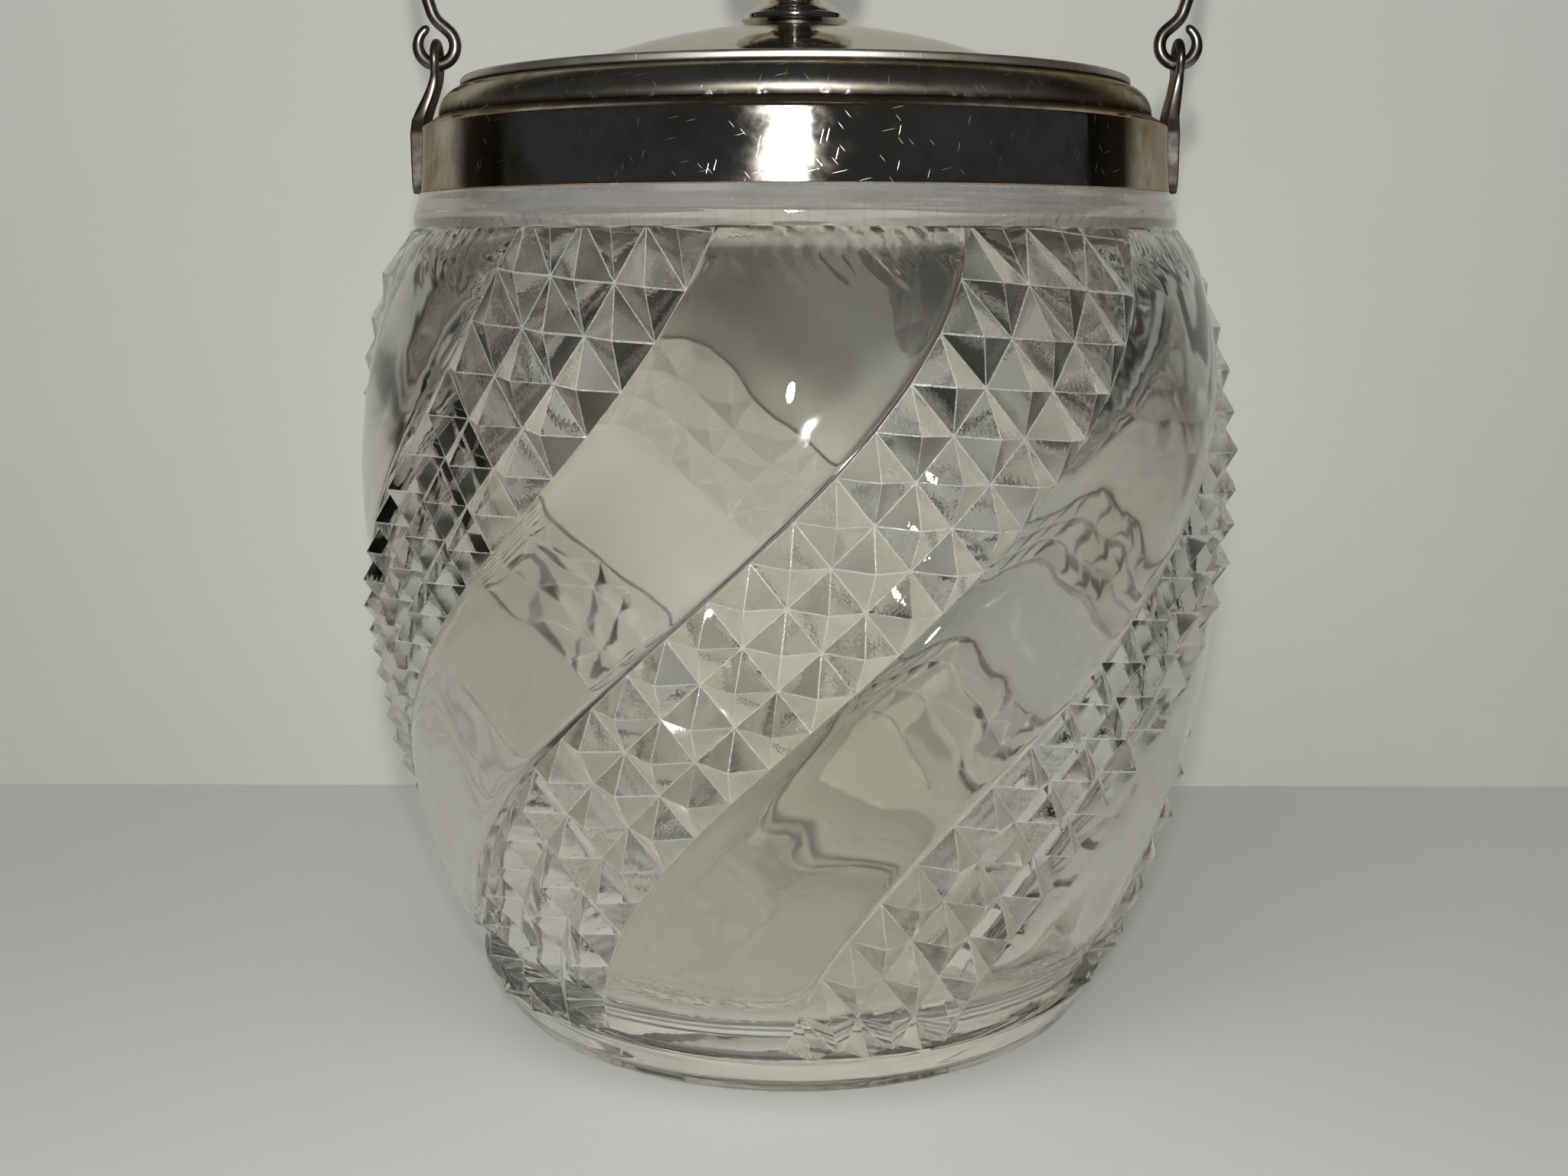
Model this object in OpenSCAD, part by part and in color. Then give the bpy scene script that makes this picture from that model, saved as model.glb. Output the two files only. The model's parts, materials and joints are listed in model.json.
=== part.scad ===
// Glass biscuit jar with a plated mount, a lift-off domed lid and a swing handle.
// Millimetres, +Z up, origin on the table at the jar's axis. The handle stands upright at rest,
// its hooks hang in the eyes of two lugs at -X and +X.

/* [Glass jar] */
// Height of the glass from the table to its rim
jar_h = 133.6; // [111:0.1:161]
// Height at which the body is widest
belly_h = 82; // [66:0.5:90]
// How far the body swells out beyond its shoulder
belly_out = 7; // [4:0.1:12]
// Ledge by which the shoulder stands out beyond the neck
shoulder_step = 2.8; // [1:0.1:4]
// Height of the plain neck that shows below the mount
neck_h = 5.3; // [3:0.1:9]
// How far the neck stands out beyond the mount
neck_out = 0.2; // [0:0.05:0.6]
// How far the bead around the neck stands out
bead_out = 1; // [0.4:0.1:2]
// Thickness of the glass at the rim
rim_t = 4.6; // [3:0.1:6]
// Thickness of the body wall under the smooth flutes
wall = 4.8; // [3.5:0.1:6.5]
// Thickness of the glass at the shoulder
shoulder_wall = 6; // [4.5:0.1:8]
// Thickness of the floor
floor_t = 9; // [6:0.1:12]
// Radius of the inside corner at the floor
floor_corner = 8; // [4:0.5:12]
// How far the diamond tips stand proud of the flutes
diamond_proud = 1.6; // [0.5:0.1:2.5]
// Radius of the flat ring that the jar stands on
foot_r = 46; // [38:0.1:50]
// Flare of the plain foot from the table to its top edge
foot_flare = 4.2; // [2:0.1:6]
// Height of the plain foot
foot_h = 7.3; // [4:0.1:10]
// Flare of the narrow edge at the table
foot_edge_flare = 1; // [0.5:0.1:1.8]
// Height of the narrow edge at the table
foot_edge_h = 2.3; // [1:0.1:3]
// Width of the flat ring underneath
foot_ring_w = 6; // [3:0.1:10]
// Depth of the hollow underneath
kick_up = 2; // [0.5:0.1:3]

/* [Mount] */
// Outer radius of the plain band at its lower edge
band_r = 56; // [46:0.1:68]
// Height of the plain band with its turned-in top
band_h = 10.8; // [8:0.1:14]
// How much narrower the band is at the top
band_taper = 0.65; // [0:0.05:1.2]
// Thickness of the mount's sheet
sheet = 0.8; // [0.5:0.05:1.2]
// Width of the sloping ledge from the band to the moulding
ledge_w = 2.35; // [1.5:0.05:3.5]
// Height of the sloping ledge
ledge_h = 1.4; // [0.9:0.1:2]
// Flat left outside the foot of the moulding for the solder
seam_w = 0.2; // [0.05:0.05:0.4]
// Radius of the quarter-round moulding
ovolo_r = 4; // [3.5:0.1:6]
// Upright foot below the quarter round
ovolo_foot = 0.4; // [0.2:0.1:1]
// Setback of the lid's rim from the foot of the moulding
lid_setback = 3.2; // [2.5:0.1:3.4]
// Width of the lid's seat on top of the moulding
seat_w = 2.45; // [2:0.05:3.5]
// Depth of the lip that turns down into the mouth
lip_depth = 5.5; // [3:0.1:8]
// Thickness of the plaster between glass and band
bed_side = 1.2; // [0.6:0.1:2]
// Thickness of the plaster on top of the glass rim
bed_top = 0.7; // [0.3:0.1:1.5]
// Setback of the plaster from the inner edge of the glass rim
bed_setback = 0.4; // [0.1:0.1:1]

/* [Lugs] */
// Thickness of a lug
lug_t = 1.4; // [1:0.1:1.8]
// How far a lug is let into the band
lug_let_in = 0.2; // [0:0.05:0.3]
// Width of the plate soldered to the band
plate_w = 8; // [6:0.1:12]
// Setback of the plate's lower end from the band's edge
plate_setback = 0.3; // [0.1:0.1:2]
// Width of the shank above the band
shank_w = 5.5; // [4:0.1:6.5]
// Play of the handle's wire in an eye
eye_play = 0.95; // [0.5:0.05:1.2]
// Width of the metal around an eye
eye_bar = 1.4; // [1:0.1:1.7]
// Air under the handle's wire in an eye
eye_air = 0.15; // [0.05:0.05:0.3]
// Height of the handle's pivot above the band
pivot_h = 8.6; // [7:0.1:12]
// Air between the left hook and the lid as it is lifted
hook_air = 0.35; // [0.2:0.05:1]
// How far the right eye stands out from the band's radius
right_bend_out = 1.6; // [0:0.1:2]

/* [Handle] */
// Diameter of the handle's wire
wire_d = 1.9; // [1.5:0.1:2.3]
// Inside radius of a hook
hook_in_r = 1.85; // [1.8:0.05:2.5]
// Angle at which the hook's open tip ends, above the horizontal
hook_tip = 50; // [20:1:60]
// Rise of the wire where it leaves the hook, above the horizontal
hook_exit = 40; // [30:1:50]
// Straight length after the hook
exit_l = 1.5; // [0.5:0.1:3]
// Radius of the bend from the hook to the arch
bend_r = 4; // [3:0.1:8]
// Outward lean of the wire at the foot of the arch
flare = 18; // [5:1:25]

/* [Lid] */
// Thickness of the lid's sheet
lid_sheet = 0.7; // [0.5:0.05:1]
// Height of the rim bead above its seat
rim_h = 1.3; // [1:0.05:2]
// Width of the rim bead
rim_w = 1.4; // [0.8:0.1:2]
// Flat of the brim between the dome and the ring underneath
brim_in = 7.35; // [2:0.05:12]
// Rise of the dome above the brim
dome_rise = 8.9; // [5:0.1:12]
// Depth of the ring that centres the lid in the mouth
bezel_depth = 8; // [4:0.1:12]
// Air between the lid's ring and the lip
bezel_gap = 0.3; // [0.1:0.05:0.6]
// Air under the lid's rim
seat_gap = 0.1; // [0.02:0.01:0.3]

/* [Finial] */
// Radius of the short neck on the dome
finial_neck_r = 4.1; // [3.4:0.1:5]
// Height of the short neck
finial_neck_h = 0.8; // [0.5:0.1:1.5]
// Width of the flat seats for the finial and the washer beyond their own edge
seat_margin = 0.4; // [0.2:0.1:1]
// Radius of the flange
flange_r = 8; // [6:0.1:11]
// Thickness of the flange's edge
flange_t = 0.9; // [0.6:0.1:1.5]
// Width of the flat lip on the flange's upper edge
flange_lip = 0.35; // [0.2:0.05:0.8]
// Radius of the hollow curve above the flange
cove_r = 6.5; // [5.4:0.1:7.8]
// Radius of the waist
waist_r = 3.2; // [3:0.1:3.8]
// Radius of the ring above the waist
bead_r = 4.2; // [3.6:0.1:5]
// Height of that ring
bead_h = 1.2; // [0.8:0.1:2]
// Radius of the grip
grip_r = 10.5; // [8:0.1:12]
// Radius of the grip's round edge
grip_edge = 4.4; // [3:0.1:5]
// How far beyond the grip's middle its crowns are centred: more is flatter
grip_flat = 8; // [4:0.1:12]
// Height of the groove under the grip
grip_gap = 0.3; // [0.2:0.05:1]
// Radius of the little button on top
button_r = 1.8; // [1.2:0.1:2.4]
// Radius of the screwed stud
stud_r = 2; // [1.5:0.1:2.5]
// Depth of the stud in the finial
stud_in = 9; // [6:0.5:12]
// Radial clearance of the stud in the dome and the washer
stud_gap = 0.2; // [0.1:0.05:0.4]
// Radius of the washer
washer_r = 6.5; // [5:0.1:8]
// Thickness of the washer
washer_t = 1; // [0.5:0.1:1.5]
// Width of the nut across its flats
nut_af = 7; // [6:0.1:9]
// Thickness of the nut
nut_t = 3.2; // [2:0.1:4]
// Length of the stud below the nut
stud_out = 1; // [0.5:0.1:2]

/* [Hidden] */
$fn = 96;
eps = 0.01;
bridge = 0.1;                          // of each stretch of wire, filled by the ball at its end

// mount, from the glass rim upwards
band_top = jar_h + bed_top + sheet;
band_z = band_top - band_h;
band_top_r = band_r - band_taper;
ovolo_foot_r = band_top_r - ledge_w;
lid_r = ovolo_foot_r - lid_setback;
ovolo_cx = ovolo_foot_r - ovolo_r;
ovolo_cz = band_top + ovolo_foot;
seat_z = ovolo_cz + sqrt(ovolo_r * ovolo_r - pow(lid_r - ovolo_cx, 2));
lip_r = lid_r - seat_w;
turn_in_r = ovolo_foot_r + sheet / 2;  // inside, where the slope meets the flat top

// glass
neck_r = band_r + neck_out;
rim_r = band_r - sheet - bed_side;
mouth_r = rim_r - rim_t;
shoulder_z = band_z - neck_h;
shoulder_r = neck_r + shoulder_step;
belly_r = shoulder_r + belly_out;
foot_top_r = foot_r + foot_flare;
function arc_through(out, up) = (out * out + up * up) / (2 * out);
upper_arc = arc_through(belly_r - shoulder_r, shoulder_z - belly_h);
lower_arc = arc_through(belly_r - foot_top_r, belly_h - foot_h);
tip_r = belly_r + diamond_proud;
inner_r = belly_r - wall;
inner_top_z = shoulder_z - 2;
inner_top_r = shoulder_r - shoulder_wall;
inner_upper = arc_through(inner_r - inner_top_r, inner_top_z - belly_h);
inner_lower = lower_arc - wall;
corner_z = floor_t + floor_corner;
corner_r = inner_r - inner_lower + sqrt(pow(inner_lower, 2) - pow(belly_h - corner_z, 2));

// lugs and handle
pivot_z = band_top + pivot_h;
wire_r = wire_d / 2;
hook_r = hook_in_r + wire_r;
eye_hole_r = wire_r + eye_play;
eye_r = eye_hole_r + eye_bar;
eye_z = pivot_z + eye_play - eye_air;
left_eye_x = lid_r + hook_air + hook_r + wire_r;
right_eye_x = band_r + right_bend_out;
bail_x = (right_eye_x - left_eye_x) / 2;
hook_x = (right_eye_x + left_eye_x) / 2;
hook_z = pivot_z + hook_r;
exit_a = 90 + hook_exit;               // where on the hook the wire leaves it
exit_x = hook_x + hook_r * cos(exit_a);
exit_z = hook_z + hook_r * sin(exit_a);
bend_start_x = exit_x + exit_l * cos(hook_exit);
bend_start_z = exit_z + exit_l * sin(hook_exit);
bend_x = bend_start_x + bend_r * cos(exit_a);
bend_z = bend_start_z + bend_r * sin(exit_a);
arch_r = bend_r + bend_x / cos(flare);
arch_z = bend_z + (arch_r - bend_r) * sin(flare);

// lid and finial
brim_z = seat_z + seat_gap;
brim_top = brim_z + lid_sheet;
bezel_r = lip_r - bezel_gap;
dome_r = bezel_r - lid_sheet - brim_in;
dome_arc = arc_through(dome_rise, dome_r);
dome_cz = brim_top + dome_rise - dome_arc;
finial_z = dome_cz + sqrt(pow(dome_arc, 2) - pow(finial_neck_r + seat_margin, 2));
washer_z = dome_cz + sqrt(pow(dome_arc - lid_sheet, 2) - pow(washer_r + seat_margin, 2));
stud_low = washer_z - washer_t - nut_t - stud_out;
cove_z = finial_neck_h + flange_t;
bead_z = cove_z + cove_r + bead_h / 2;
crown_r = grip_edge + sqrt(pow(grip_r - grip_edge, 2) + pow(grip_flat, 2));
crown_start = grip_flat * crown_r / (crown_r - grip_edge) - grip_flat;  // where it leaves the edge
// Height of a crown above the grip's middle, at a distance from the axis
function crown_height(x) = sqrt(pow(crown_r, 2) - pow(x, 2)) - grip_flat;
grip_z = bead_z + bead_h / 2 + grip_gap + crown_height(waist_r);
button_z = grip_z + crown_height(button_r) + button_r / 2;

// ---- helpers ----

// Half-plane outline turned about the vertical axis
module turned() { rotate_extrude() children(); }

// Slice of a disc between two heights, to the right of the axis
module arc_slice(cx, cz, r, z0, z1) {
    intersection() {
        translate([cx, cz]) circle(r = r, $fn = 180);
        translate([0, z0]) square([cx + r + 1, z1 - z0]);
    }
}

// Round wire along an arc in the XZ plane, short of its ends by what wire_joint bridges
module wire_arc(cx, cz, r, from, to) {
    short = bridge / r * 180 / PI;
    translate([cx, 0, cz]) rotate([90, 0, 0]) rotate([0, 0, from + short])
        rotate_extrude(angle = to - from - 2 * short) translate([r, 0]) circle(r = wire_r, $fn = 32);
}

// Round wire along a straight stretch that rises at an angle
module wire_straight(x, z, rise, length) {
    translate([x + bridge * cos(rise), 0, z + bridge * sin(rise)]) rotate([0, 90 - rise, 0])
        cylinder(r = wire_r, h = length - 2 * bridge, $fn = 32);
}

// Ball a hair thicker than the wire, where two stretches meet or the wire ends
module wire_joint(x, z) { translate([x, 0, z]) sphere(r = wire_r + 0.03, $fn = 32); }

// ---- glass ----

// Outside of the glass, out to the diamond tips
module jar_outside() {
    polygon([[0, 0], [foot_r, 0], [foot_r + foot_edge_flare, foot_edge_h], [foot_top_r, foot_h],
        [0, foot_h]]);
    arc_slice(tip_r - lower_arc, belly_h, lower_arc, foot_h, belly_h);
    arc_slice(tip_r - upper_arc, belly_h, upper_arc, belly_h, shoulder_z);
    translate([0, belly_h]) square([neck_r, band_z - belly_h]);
    arc_slice(neck_r + bead_out - neck_h / 2, shoulder_z + neck_h / 2, neck_h / 2, shoulder_z, band_z);
    translate([0, belly_h]) square([rim_r, jar_h - belly_h]);
}

// Hollow inside the glass
module jar_inside() {
    translate([0, floor_t]) square([corner_r - floor_corner, floor_corner + eps]);
    arc_slice(corner_r - floor_corner, corner_z, floor_corner, floor_t, corner_z);
    arc_slice(inner_r - inner_lower, belly_h, inner_lower, corner_z, belly_h);
    arc_slice(inner_r - inner_upper, belly_h, inner_upper, belly_h, inner_top_z);
    polygon([[0, inner_top_z - eps], [inner_top_r, inner_top_z - eps], [mouth_r, band_z],
        [mouth_r, jar_h + 1], [0, jar_h + 1]]);
}

module glass_jar() {
    color([0.86, 0.88, 0.85, 0.45]) turned() difference() {
        jar_outside();
        jar_inside();
        square([foot_r - foot_ring_w, kick_up]);
    }
}

// Plaster that beds the mount on the glass
module rim_bedding() {
    color("ivory") turned() polygon([[rim_r, band_z], [band_r - sheet, band_z],
        [band_top_r - sheet, band_top - ledge_h], [turn_in_r, band_top - sheet],
        [mouth_r + bed_setback, band_top - sheet], [mouth_r + bed_setback, jar_h], [rim_r, jar_h]]);
}

// ---- mount ----

// Outer face of the band, as a solid outline
module band_outside() {
    polygon([[0, band_z], [band_r, band_z], [band_top_r, band_top - ledge_h],
        [ovolo_foot_r + seam_w, band_top], [0, band_top]]);
}

module collar_band() {
    color("silver") turned() difference() {
        band_outside();
        polygon([[0, band_z - 1], [band_r - sheet, band_z - 1], [band_r - sheet, band_z],
            [band_top_r - sheet, band_top - ledge_h], [turn_in_r, band_top - sheet],
            [0, band_top - sheet]]);
        square([ovolo_foot_r - 2 * sheet, band_top + 1]);
    }
}

// Quarter-round moulding with the lid's seat and the lip that turns down into the mouth
module collar_moulding() {
    color("silver") turned() {
        difference() {
            intersection() {
                union() {
                    arc_slice(ovolo_cx, ovolo_cz, ovolo_r, ovolo_cz, seat_z);
                    translate([0, band_top]) square([ovolo_foot_r, ovolo_foot]);
                }
                translate([lip_r, band_top]) square([band_r, seat_z - band_top]);
            }
            intersection() {
                union() {
                    arc_slice(ovolo_cx, ovolo_cz, ovolo_r - sheet, ovolo_cz, seat_z - sheet);
                    translate([0, band_top]) square([ovolo_foot_r - sheet, ovolo_foot]);
                }
                translate([lip_r + sheet, band_top]) square([band_r, seat_z - band_top]);
            }
        }
        translate([lip_r, seat_z - lip_depth]) square([sheet, lip_depth]);
    }
}

// ---- lugs ----

// Lug seen from the side: plate on the band, bent shank, upright eye
module lug_side(eye_x) {
    out = band_r + lug_t - lug_let_in;
    half = lug_t / 2;
    foot = band_z + plate_setback;
    bend = band_top - ledge_h / 2;
    knee = eye_z - eye_hole_r - eye_bar / 2;
    polygon([[band_r - lug_t, foot], [out, foot], [out, bend], [eye_x + half, knee],
        [eye_x + half, eye_z + eye_r], [eye_x - half, eye_z + eye_r], [eye_x - half, knee + half / 2],
        [out - lug_t, bend + half / 2], [band_r - lug_t, bend + half / 2]]);
}

// Lug seen from the front
module lug_face() {
    round_z = band_z + plate_setback + plate_w / 2;
    wide_z = band_top - ledge_h;
    narrow_z = wide_z + (plate_w - shank_w) * 0.9;
    difference() {
        union() {
            translate([0, round_z]) circle(d = plate_w);
            translate([-plate_w / 2, round_z]) square([plate_w, wide_z - round_z]);
            polygon([[-plate_w / 2, wide_z], [plate_w / 2, wide_z], [shank_w / 2, narrow_z],
                [shank_w / 2, eye_z], [-shank_w / 2, eye_z], [-shank_w / 2, narrow_z]]);
            translate([0, eye_z]) circle(r = eye_r);
        }
        translate([0, eye_z]) circle(r = eye_hole_r);
    }
}

module lug(eye_x) {
    difference() {
        intersection() {
            rotate([90, 0, 0]) linear_extrude(height = 2 * plate_w, center = true) lug_side(eye_x);
            rotate([90, 0, 90]) linear_extrude(height = band_r + lug_t + right_bend_out) lug_face();
        }
        turned() band_outside();
    }
}

module left_lug() { color("gray") mirror([1, 0, 0]) lug(left_eye_x); }

module right_lug() { color("gray") lug(right_eye_x); }

// ---- handle ----

// Hook, straight and bend on one side
module hook_side() {
    wire_joint(hook_x + hook_r * cos(hook_tip), hook_z + hook_r * sin(hook_tip));
    wire_arc(hook_x, hook_z, hook_r, exit_a, 360 + hook_tip);
    wire_joint(exit_x, exit_z);
    wire_straight(exit_x, exit_z, hook_exit, exit_l);
    wire_joint(bend_start_x, bend_start_z);
    wire_arc(bend_x, bend_z, bend_r, hook_exit - 90, -flare);
    wire_joint(arch_r * cos(flare), arch_z - arch_r * sin(flare));
}

module bail_handle() {
    color("dimgray") translate([bail_x, 0, 0]) {
        hook_side();
        mirror([1, 0, 0]) hook_side();
        wire_arc(0, arch_z, arch_r, -flare, 180 + flare);
    }
}

// ---- lid ----

module lid_cover() {
    color("lightgray") turned() difference() {
        union() {
            translate([0, brim_z]) square([lid_r, lid_sheet]);
            translate([lid_r - rim_w, brim_z]) square([rim_w, rim_h]);
            arc_slice(0, dome_cz, dome_arc, brim_z, finial_z);
        }
        arc_slice(0, dome_cz, dome_arc - lid_sheet, brim_z - 1, washer_z);
        square([stud_r + stud_gap, finial_z + 1]);
    }
}

module lid_bezel() {
    color("silver") turned()
        translate([bezel_r - lid_sheet, brim_z - bezel_depth]) square([lid_sheet, bezel_depth]);
}

// ---- finial ----

module finial_outline() {
    square([finial_neck_r, finial_neck_h + eps]);
    translate([0, finial_neck_h]) square([flange_r, flange_t]);
    difference() {
        translate([0, cove_z]) square([flange_r - flange_lip, cove_r]);
        translate([waist_r + cove_r, cove_z + cove_r]) circle(r = cove_r);
    }
    square([waist_r, grip_z]);
    translate([0, bead_z - bead_h / 2]) square([bead_r - bead_h / 2, bead_h]);
    translate([bead_r - bead_h / 2, bead_z]) circle(d = bead_h);
    translate([grip_r - grip_edge, grip_z]) circle(r = grip_edge);
    translate([0, grip_z - crown_start]) square([grip_r - grip_edge, 2 * crown_start]);
    arc_slice(0, grip_z - grip_flat, crown_r, grip_z + crown_start, grip_z + crown_r);
    arc_slice(0, grip_z + grip_flat, crown_r, grip_z - crown_r, grip_z - crown_start);
    arc_slice(0, button_z, button_r, button_z - button_r, button_z + button_r);
}

module finial_knob() {
    color("lightgray") translate([0, 0, finial_z]) turned() difference() {
        finial_outline();
        square([stud_r, stud_in]);
    }
}

module finial_stud() {
    color("tan") translate([0, 0, stud_low]) cylinder(r = stud_r, h = finial_z + stud_in - stud_low);
}

module finial_washer() {
    color("tan") translate([0, 0, washer_z - washer_t]) difference() {
        cylinder(r = washer_r, h = washer_t);
        translate([0, 0, -1]) cylinder(r = stud_r + stud_gap, h = washer_t + 2);
    }
}

module finial_nut() {
    color("tan") translate([0, 0, washer_z - washer_t - nut_t]) difference() {
        cylinder(d = nut_af / cos(30), h = nut_t, $fn = 6);
        translate([0, 0, -1]) cylinder(r = stud_r, h = nut_t + 2);
    }
}

glass_jar();
rim_bedding();
collar_band();
collar_moulding();
left_lug();
right_lug();
bail_handle();
lid_cover();
lid_bezel();
finial_knob();
finial_stud();
finial_washer();
finial_nut();
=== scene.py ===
import json
import math
import random

import bmesh
import bpy
import numpy as np
from mathutils import Euler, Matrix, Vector, noise


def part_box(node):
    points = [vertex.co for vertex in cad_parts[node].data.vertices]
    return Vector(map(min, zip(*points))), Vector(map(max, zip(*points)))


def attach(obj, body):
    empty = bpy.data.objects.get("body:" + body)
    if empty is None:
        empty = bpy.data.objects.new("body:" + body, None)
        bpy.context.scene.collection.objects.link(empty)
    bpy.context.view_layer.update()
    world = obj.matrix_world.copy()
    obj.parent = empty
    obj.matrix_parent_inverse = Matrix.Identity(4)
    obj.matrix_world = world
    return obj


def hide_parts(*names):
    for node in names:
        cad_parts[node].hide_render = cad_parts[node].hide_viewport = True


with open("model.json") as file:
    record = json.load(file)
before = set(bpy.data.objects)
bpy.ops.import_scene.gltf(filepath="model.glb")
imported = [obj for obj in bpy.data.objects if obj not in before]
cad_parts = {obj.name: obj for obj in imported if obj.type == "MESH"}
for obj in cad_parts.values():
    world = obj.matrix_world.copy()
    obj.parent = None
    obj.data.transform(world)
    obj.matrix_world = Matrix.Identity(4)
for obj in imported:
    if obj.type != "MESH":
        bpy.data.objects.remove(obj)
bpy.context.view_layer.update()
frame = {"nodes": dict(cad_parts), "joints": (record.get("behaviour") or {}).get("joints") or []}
mm = 0.001
nodes = frame["nodes"]


def low(node):
    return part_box(node)[0] / mm


def high(node):
    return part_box(node)[1] / mm


# outlines are lists of radius and height, in millimetres
def fillet(corners, steps=5):
    # corners are (radius, height, size of the round); a size of 0 stays sharp
    nearlyStraight = math.radians(88)
    sideShare = 2.05  # a round takes a little under half of its shorter side
    outline = []
    count = len(corners)
    for i, (r, z, size) in enumerate(corners):
        here = np.array([r, z], float)
        if size == 0:
            outline.append(here)
            continue
        before = np.array(corners[i - 1][:2], float) - here
        after = np.array(corners[(i + 1) % count][:2], float) - here
        reach = min(np.linalg.norm(before), np.linalg.norm(after)) / sideShare
        before /= np.linalg.norm(before)
        after /= np.linalg.norm(after)
        half = math.acos(np.clip(before @ after, -1, 1)) / 2
        if half > nearlyStraight:
            outline.append(here)
            continue
        cut = min(size / math.tan(half), reach)
        size = cut * math.tan(half)
        middle = here + (before + after) / np.linalg.norm(before + after) * size / math.sin(half)
        start = here + before * cut - middle
        turn = math.pi - 2 * half
        side = 1 if start[0] * (here - middle)[1] - start[1] * (here - middle)[0] > 0 else -1
        for k in range(steps + 1):
            a = side * turn * k / steps
            outline.append(middle + [start[0] * math.cos(a) - start[1] * math.sin(a),
                                     start[0] * math.sin(a) + start[1] * math.cos(a)])
    return outline


def arc(cx, cz, r, start, end, steps):
    angles = np.radians(np.linspace(start, end, steps + 1))
    return [np.array([cx + r * math.cos(a), cz + r * math.sin(a)]) for a in angles]


def placed(name, data):
    # a new object in the scene that holds a mesh, a lamp or a camera
    made = bpy.data.objects.new(name, data)
    bpy.context.scene.collection.objects.link(made)
    return made


def newPiece(name, points, faces, body, material):
    mesh = bpy.data.meshes.new(name)
    mesh.from_pydata([tuple(p) for p in np.asarray(points, float) * mm], [], faces)
    mesh.validate()
    mesh.polygons.foreach_set("use_smooth", np.full(len(mesh.polygons), True, bool))
    piece = placed(name, mesh)
    mesh.materials.append(material)
    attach(piece, body)
    return piece


def turned(outline, segments, wobble=0.0, seed=0):
    # a closed outline turned about the axis; wobble dents the surface by up to that much
    dentSize = 14
    points, faces = [], []
    angles = np.linspace(0, 2 * math.pi, segments, endpoint=False)
    for r, z in outline:
        for a in angles:
            push = 0.0
            if wobble:
                spot = Vector((r * math.sin(a), -r * math.cos(a), z)) / dentSize + Vector((seed, 0, 0))
                push = wobble * noise.noise(spot)
            points.append(((r + push) * math.sin(a), -(r + push) * math.cos(a), z + push * 0.5))
    rings = len(outline)
    for k in range(rings):
        a0, b0 = k * segments, (k + 1) % rings * segments
        for i in range(segments):
            j = (i + 1) % segments
            faces.append((a0 + i, a0 + j, b0 + j, b0 + i))
    return points, faces


def facingOut(piece):
    # turns the faces outwards, and counts the open edges
    work = bmesh.new()
    work.from_mesh(piece.data)
    bmesh.ops.recalc_face_normals(work, faces=work.faces)
    loose = sum(not e.is_manifold for e in work.edges)
    work.to_mesh(piece.data)
    work.free()
    print(piece.name, len(piece.data.polygons), "faces, open edges", loose)
    return piece


def keepSharp(piece, degrees=35):
    piece.data.set_sharp_from_angle(angle=math.radians(degrees))
    piece.modifiers.new("weights", "WEIGHTED_NORMAL").keep_sharp = True
    return piece


def nodeGroup(name, inputs, outputs):
    # a new node group, the sockets it is given and the sockets it fills
    group = bpy.data.node_groups.new(name, "ShaderNodeTree")
    for label, kind, value in inputs:
        socket = group.interface.new_socket(label, in_out="INPUT", socket_type="NodeSocket" + kind)
        if value is not None:
            socket.default_value = value
    for label, kind in outputs:
        group.interface.new_socket(label, in_out="OUTPUT", socket_type="NodeSocket" + kind)
    return group, group.nodes.new("NodeGroupInput").outputs, group.nodes.new("NodeGroupOutput").inputs


def feed(tree, value, socket):
    # links another socket to this one, or sets a plain value on it
    if isinstance(value, bpy.types.NodeSocket):
        tree.links.new(value, socket)
    else:
        socket.default_value = value


def add(tree, kind, **values):
    # values are the node's own settings, or feed the socket of that name, or in0, in1 by its number
    node = tree.nodes.new("ShaderNode" + kind)
    settings = [key for key in values if hasattr(node, key)]
    for key in settings:
        setattr(node, key, values[key])
    for key, value in values.items():
        if key not in settings:
            numbered = key.startswith("in") and key[2:].isdigit()
            feed(tree, value, node.inputs[int(key[2:]) if numbered else key.replace("_", " ")])
    return node


def mathNode(tree, operation, a, b=None, clamp=False):
    node = add(tree, "Math", operation=operation, use_clamp=clamp, in0=a)
    if b is not None:
        feed(tree, b, node.inputs[1])
    return node.outputs[0]


def times(tree, a, b):
    return mathNode(tree, "MULTIPLY", a, b)


def plus(tree, a, b):
    return mathNode(tree, "ADD", a, b)


def minus(tree, a, b):
    return mathNode(tree, "SUBTRACT", a, b)


def fill(tree, node, **values):
    for key, value in values.items():
        feed(tree, value, node.inputs[key.replace("_", " ")])


def cloudy(tree, place, scale, detail, **values):
    # a noise pattern's value, from 0 to 1
    return add(tree, "TexNoise", Vector=place, Scale=scale, Detail=detail, **values).outputs["Fac"]


def mixColor(tree, factor, a, b):
    node = tree.nodes.new("ShaderNodeMix")
    node.data_type = "RGBA"
    for number, value in ((0, factor), (6, a), (7, b)):
        feed(tree, value, node.inputs[number])
    return node.outputs[2]


def remap(tree, value, start, end, toStart=0.0, toEnd=1.0):
    node = add(tree, "MapRange", clamp=True, interpolation_type="SMOOTHSTEP", Value=value)
    for socket, number in zip(node.inputs[1:5], (start, end, toStart, toEnd)):
        feed(tree, number, socket)
    return node.outputs[0]


def eitherShader(tree, factor, first, second):
    # sends out the first shader where the factor is 0 and the second where it is 1
    both = tree.nodes.new("ShaderNodeMixShader")
    for number, output in enumerate((factor, first, second)):
        tree.links.new(output, both.inputs[number])
    tree.links.new(both.outputs[0], tree.nodes["Material Output"].inputs["Surface"])


def rgba(r, g, b):
    return (r, g, b, 1.0)


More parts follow.
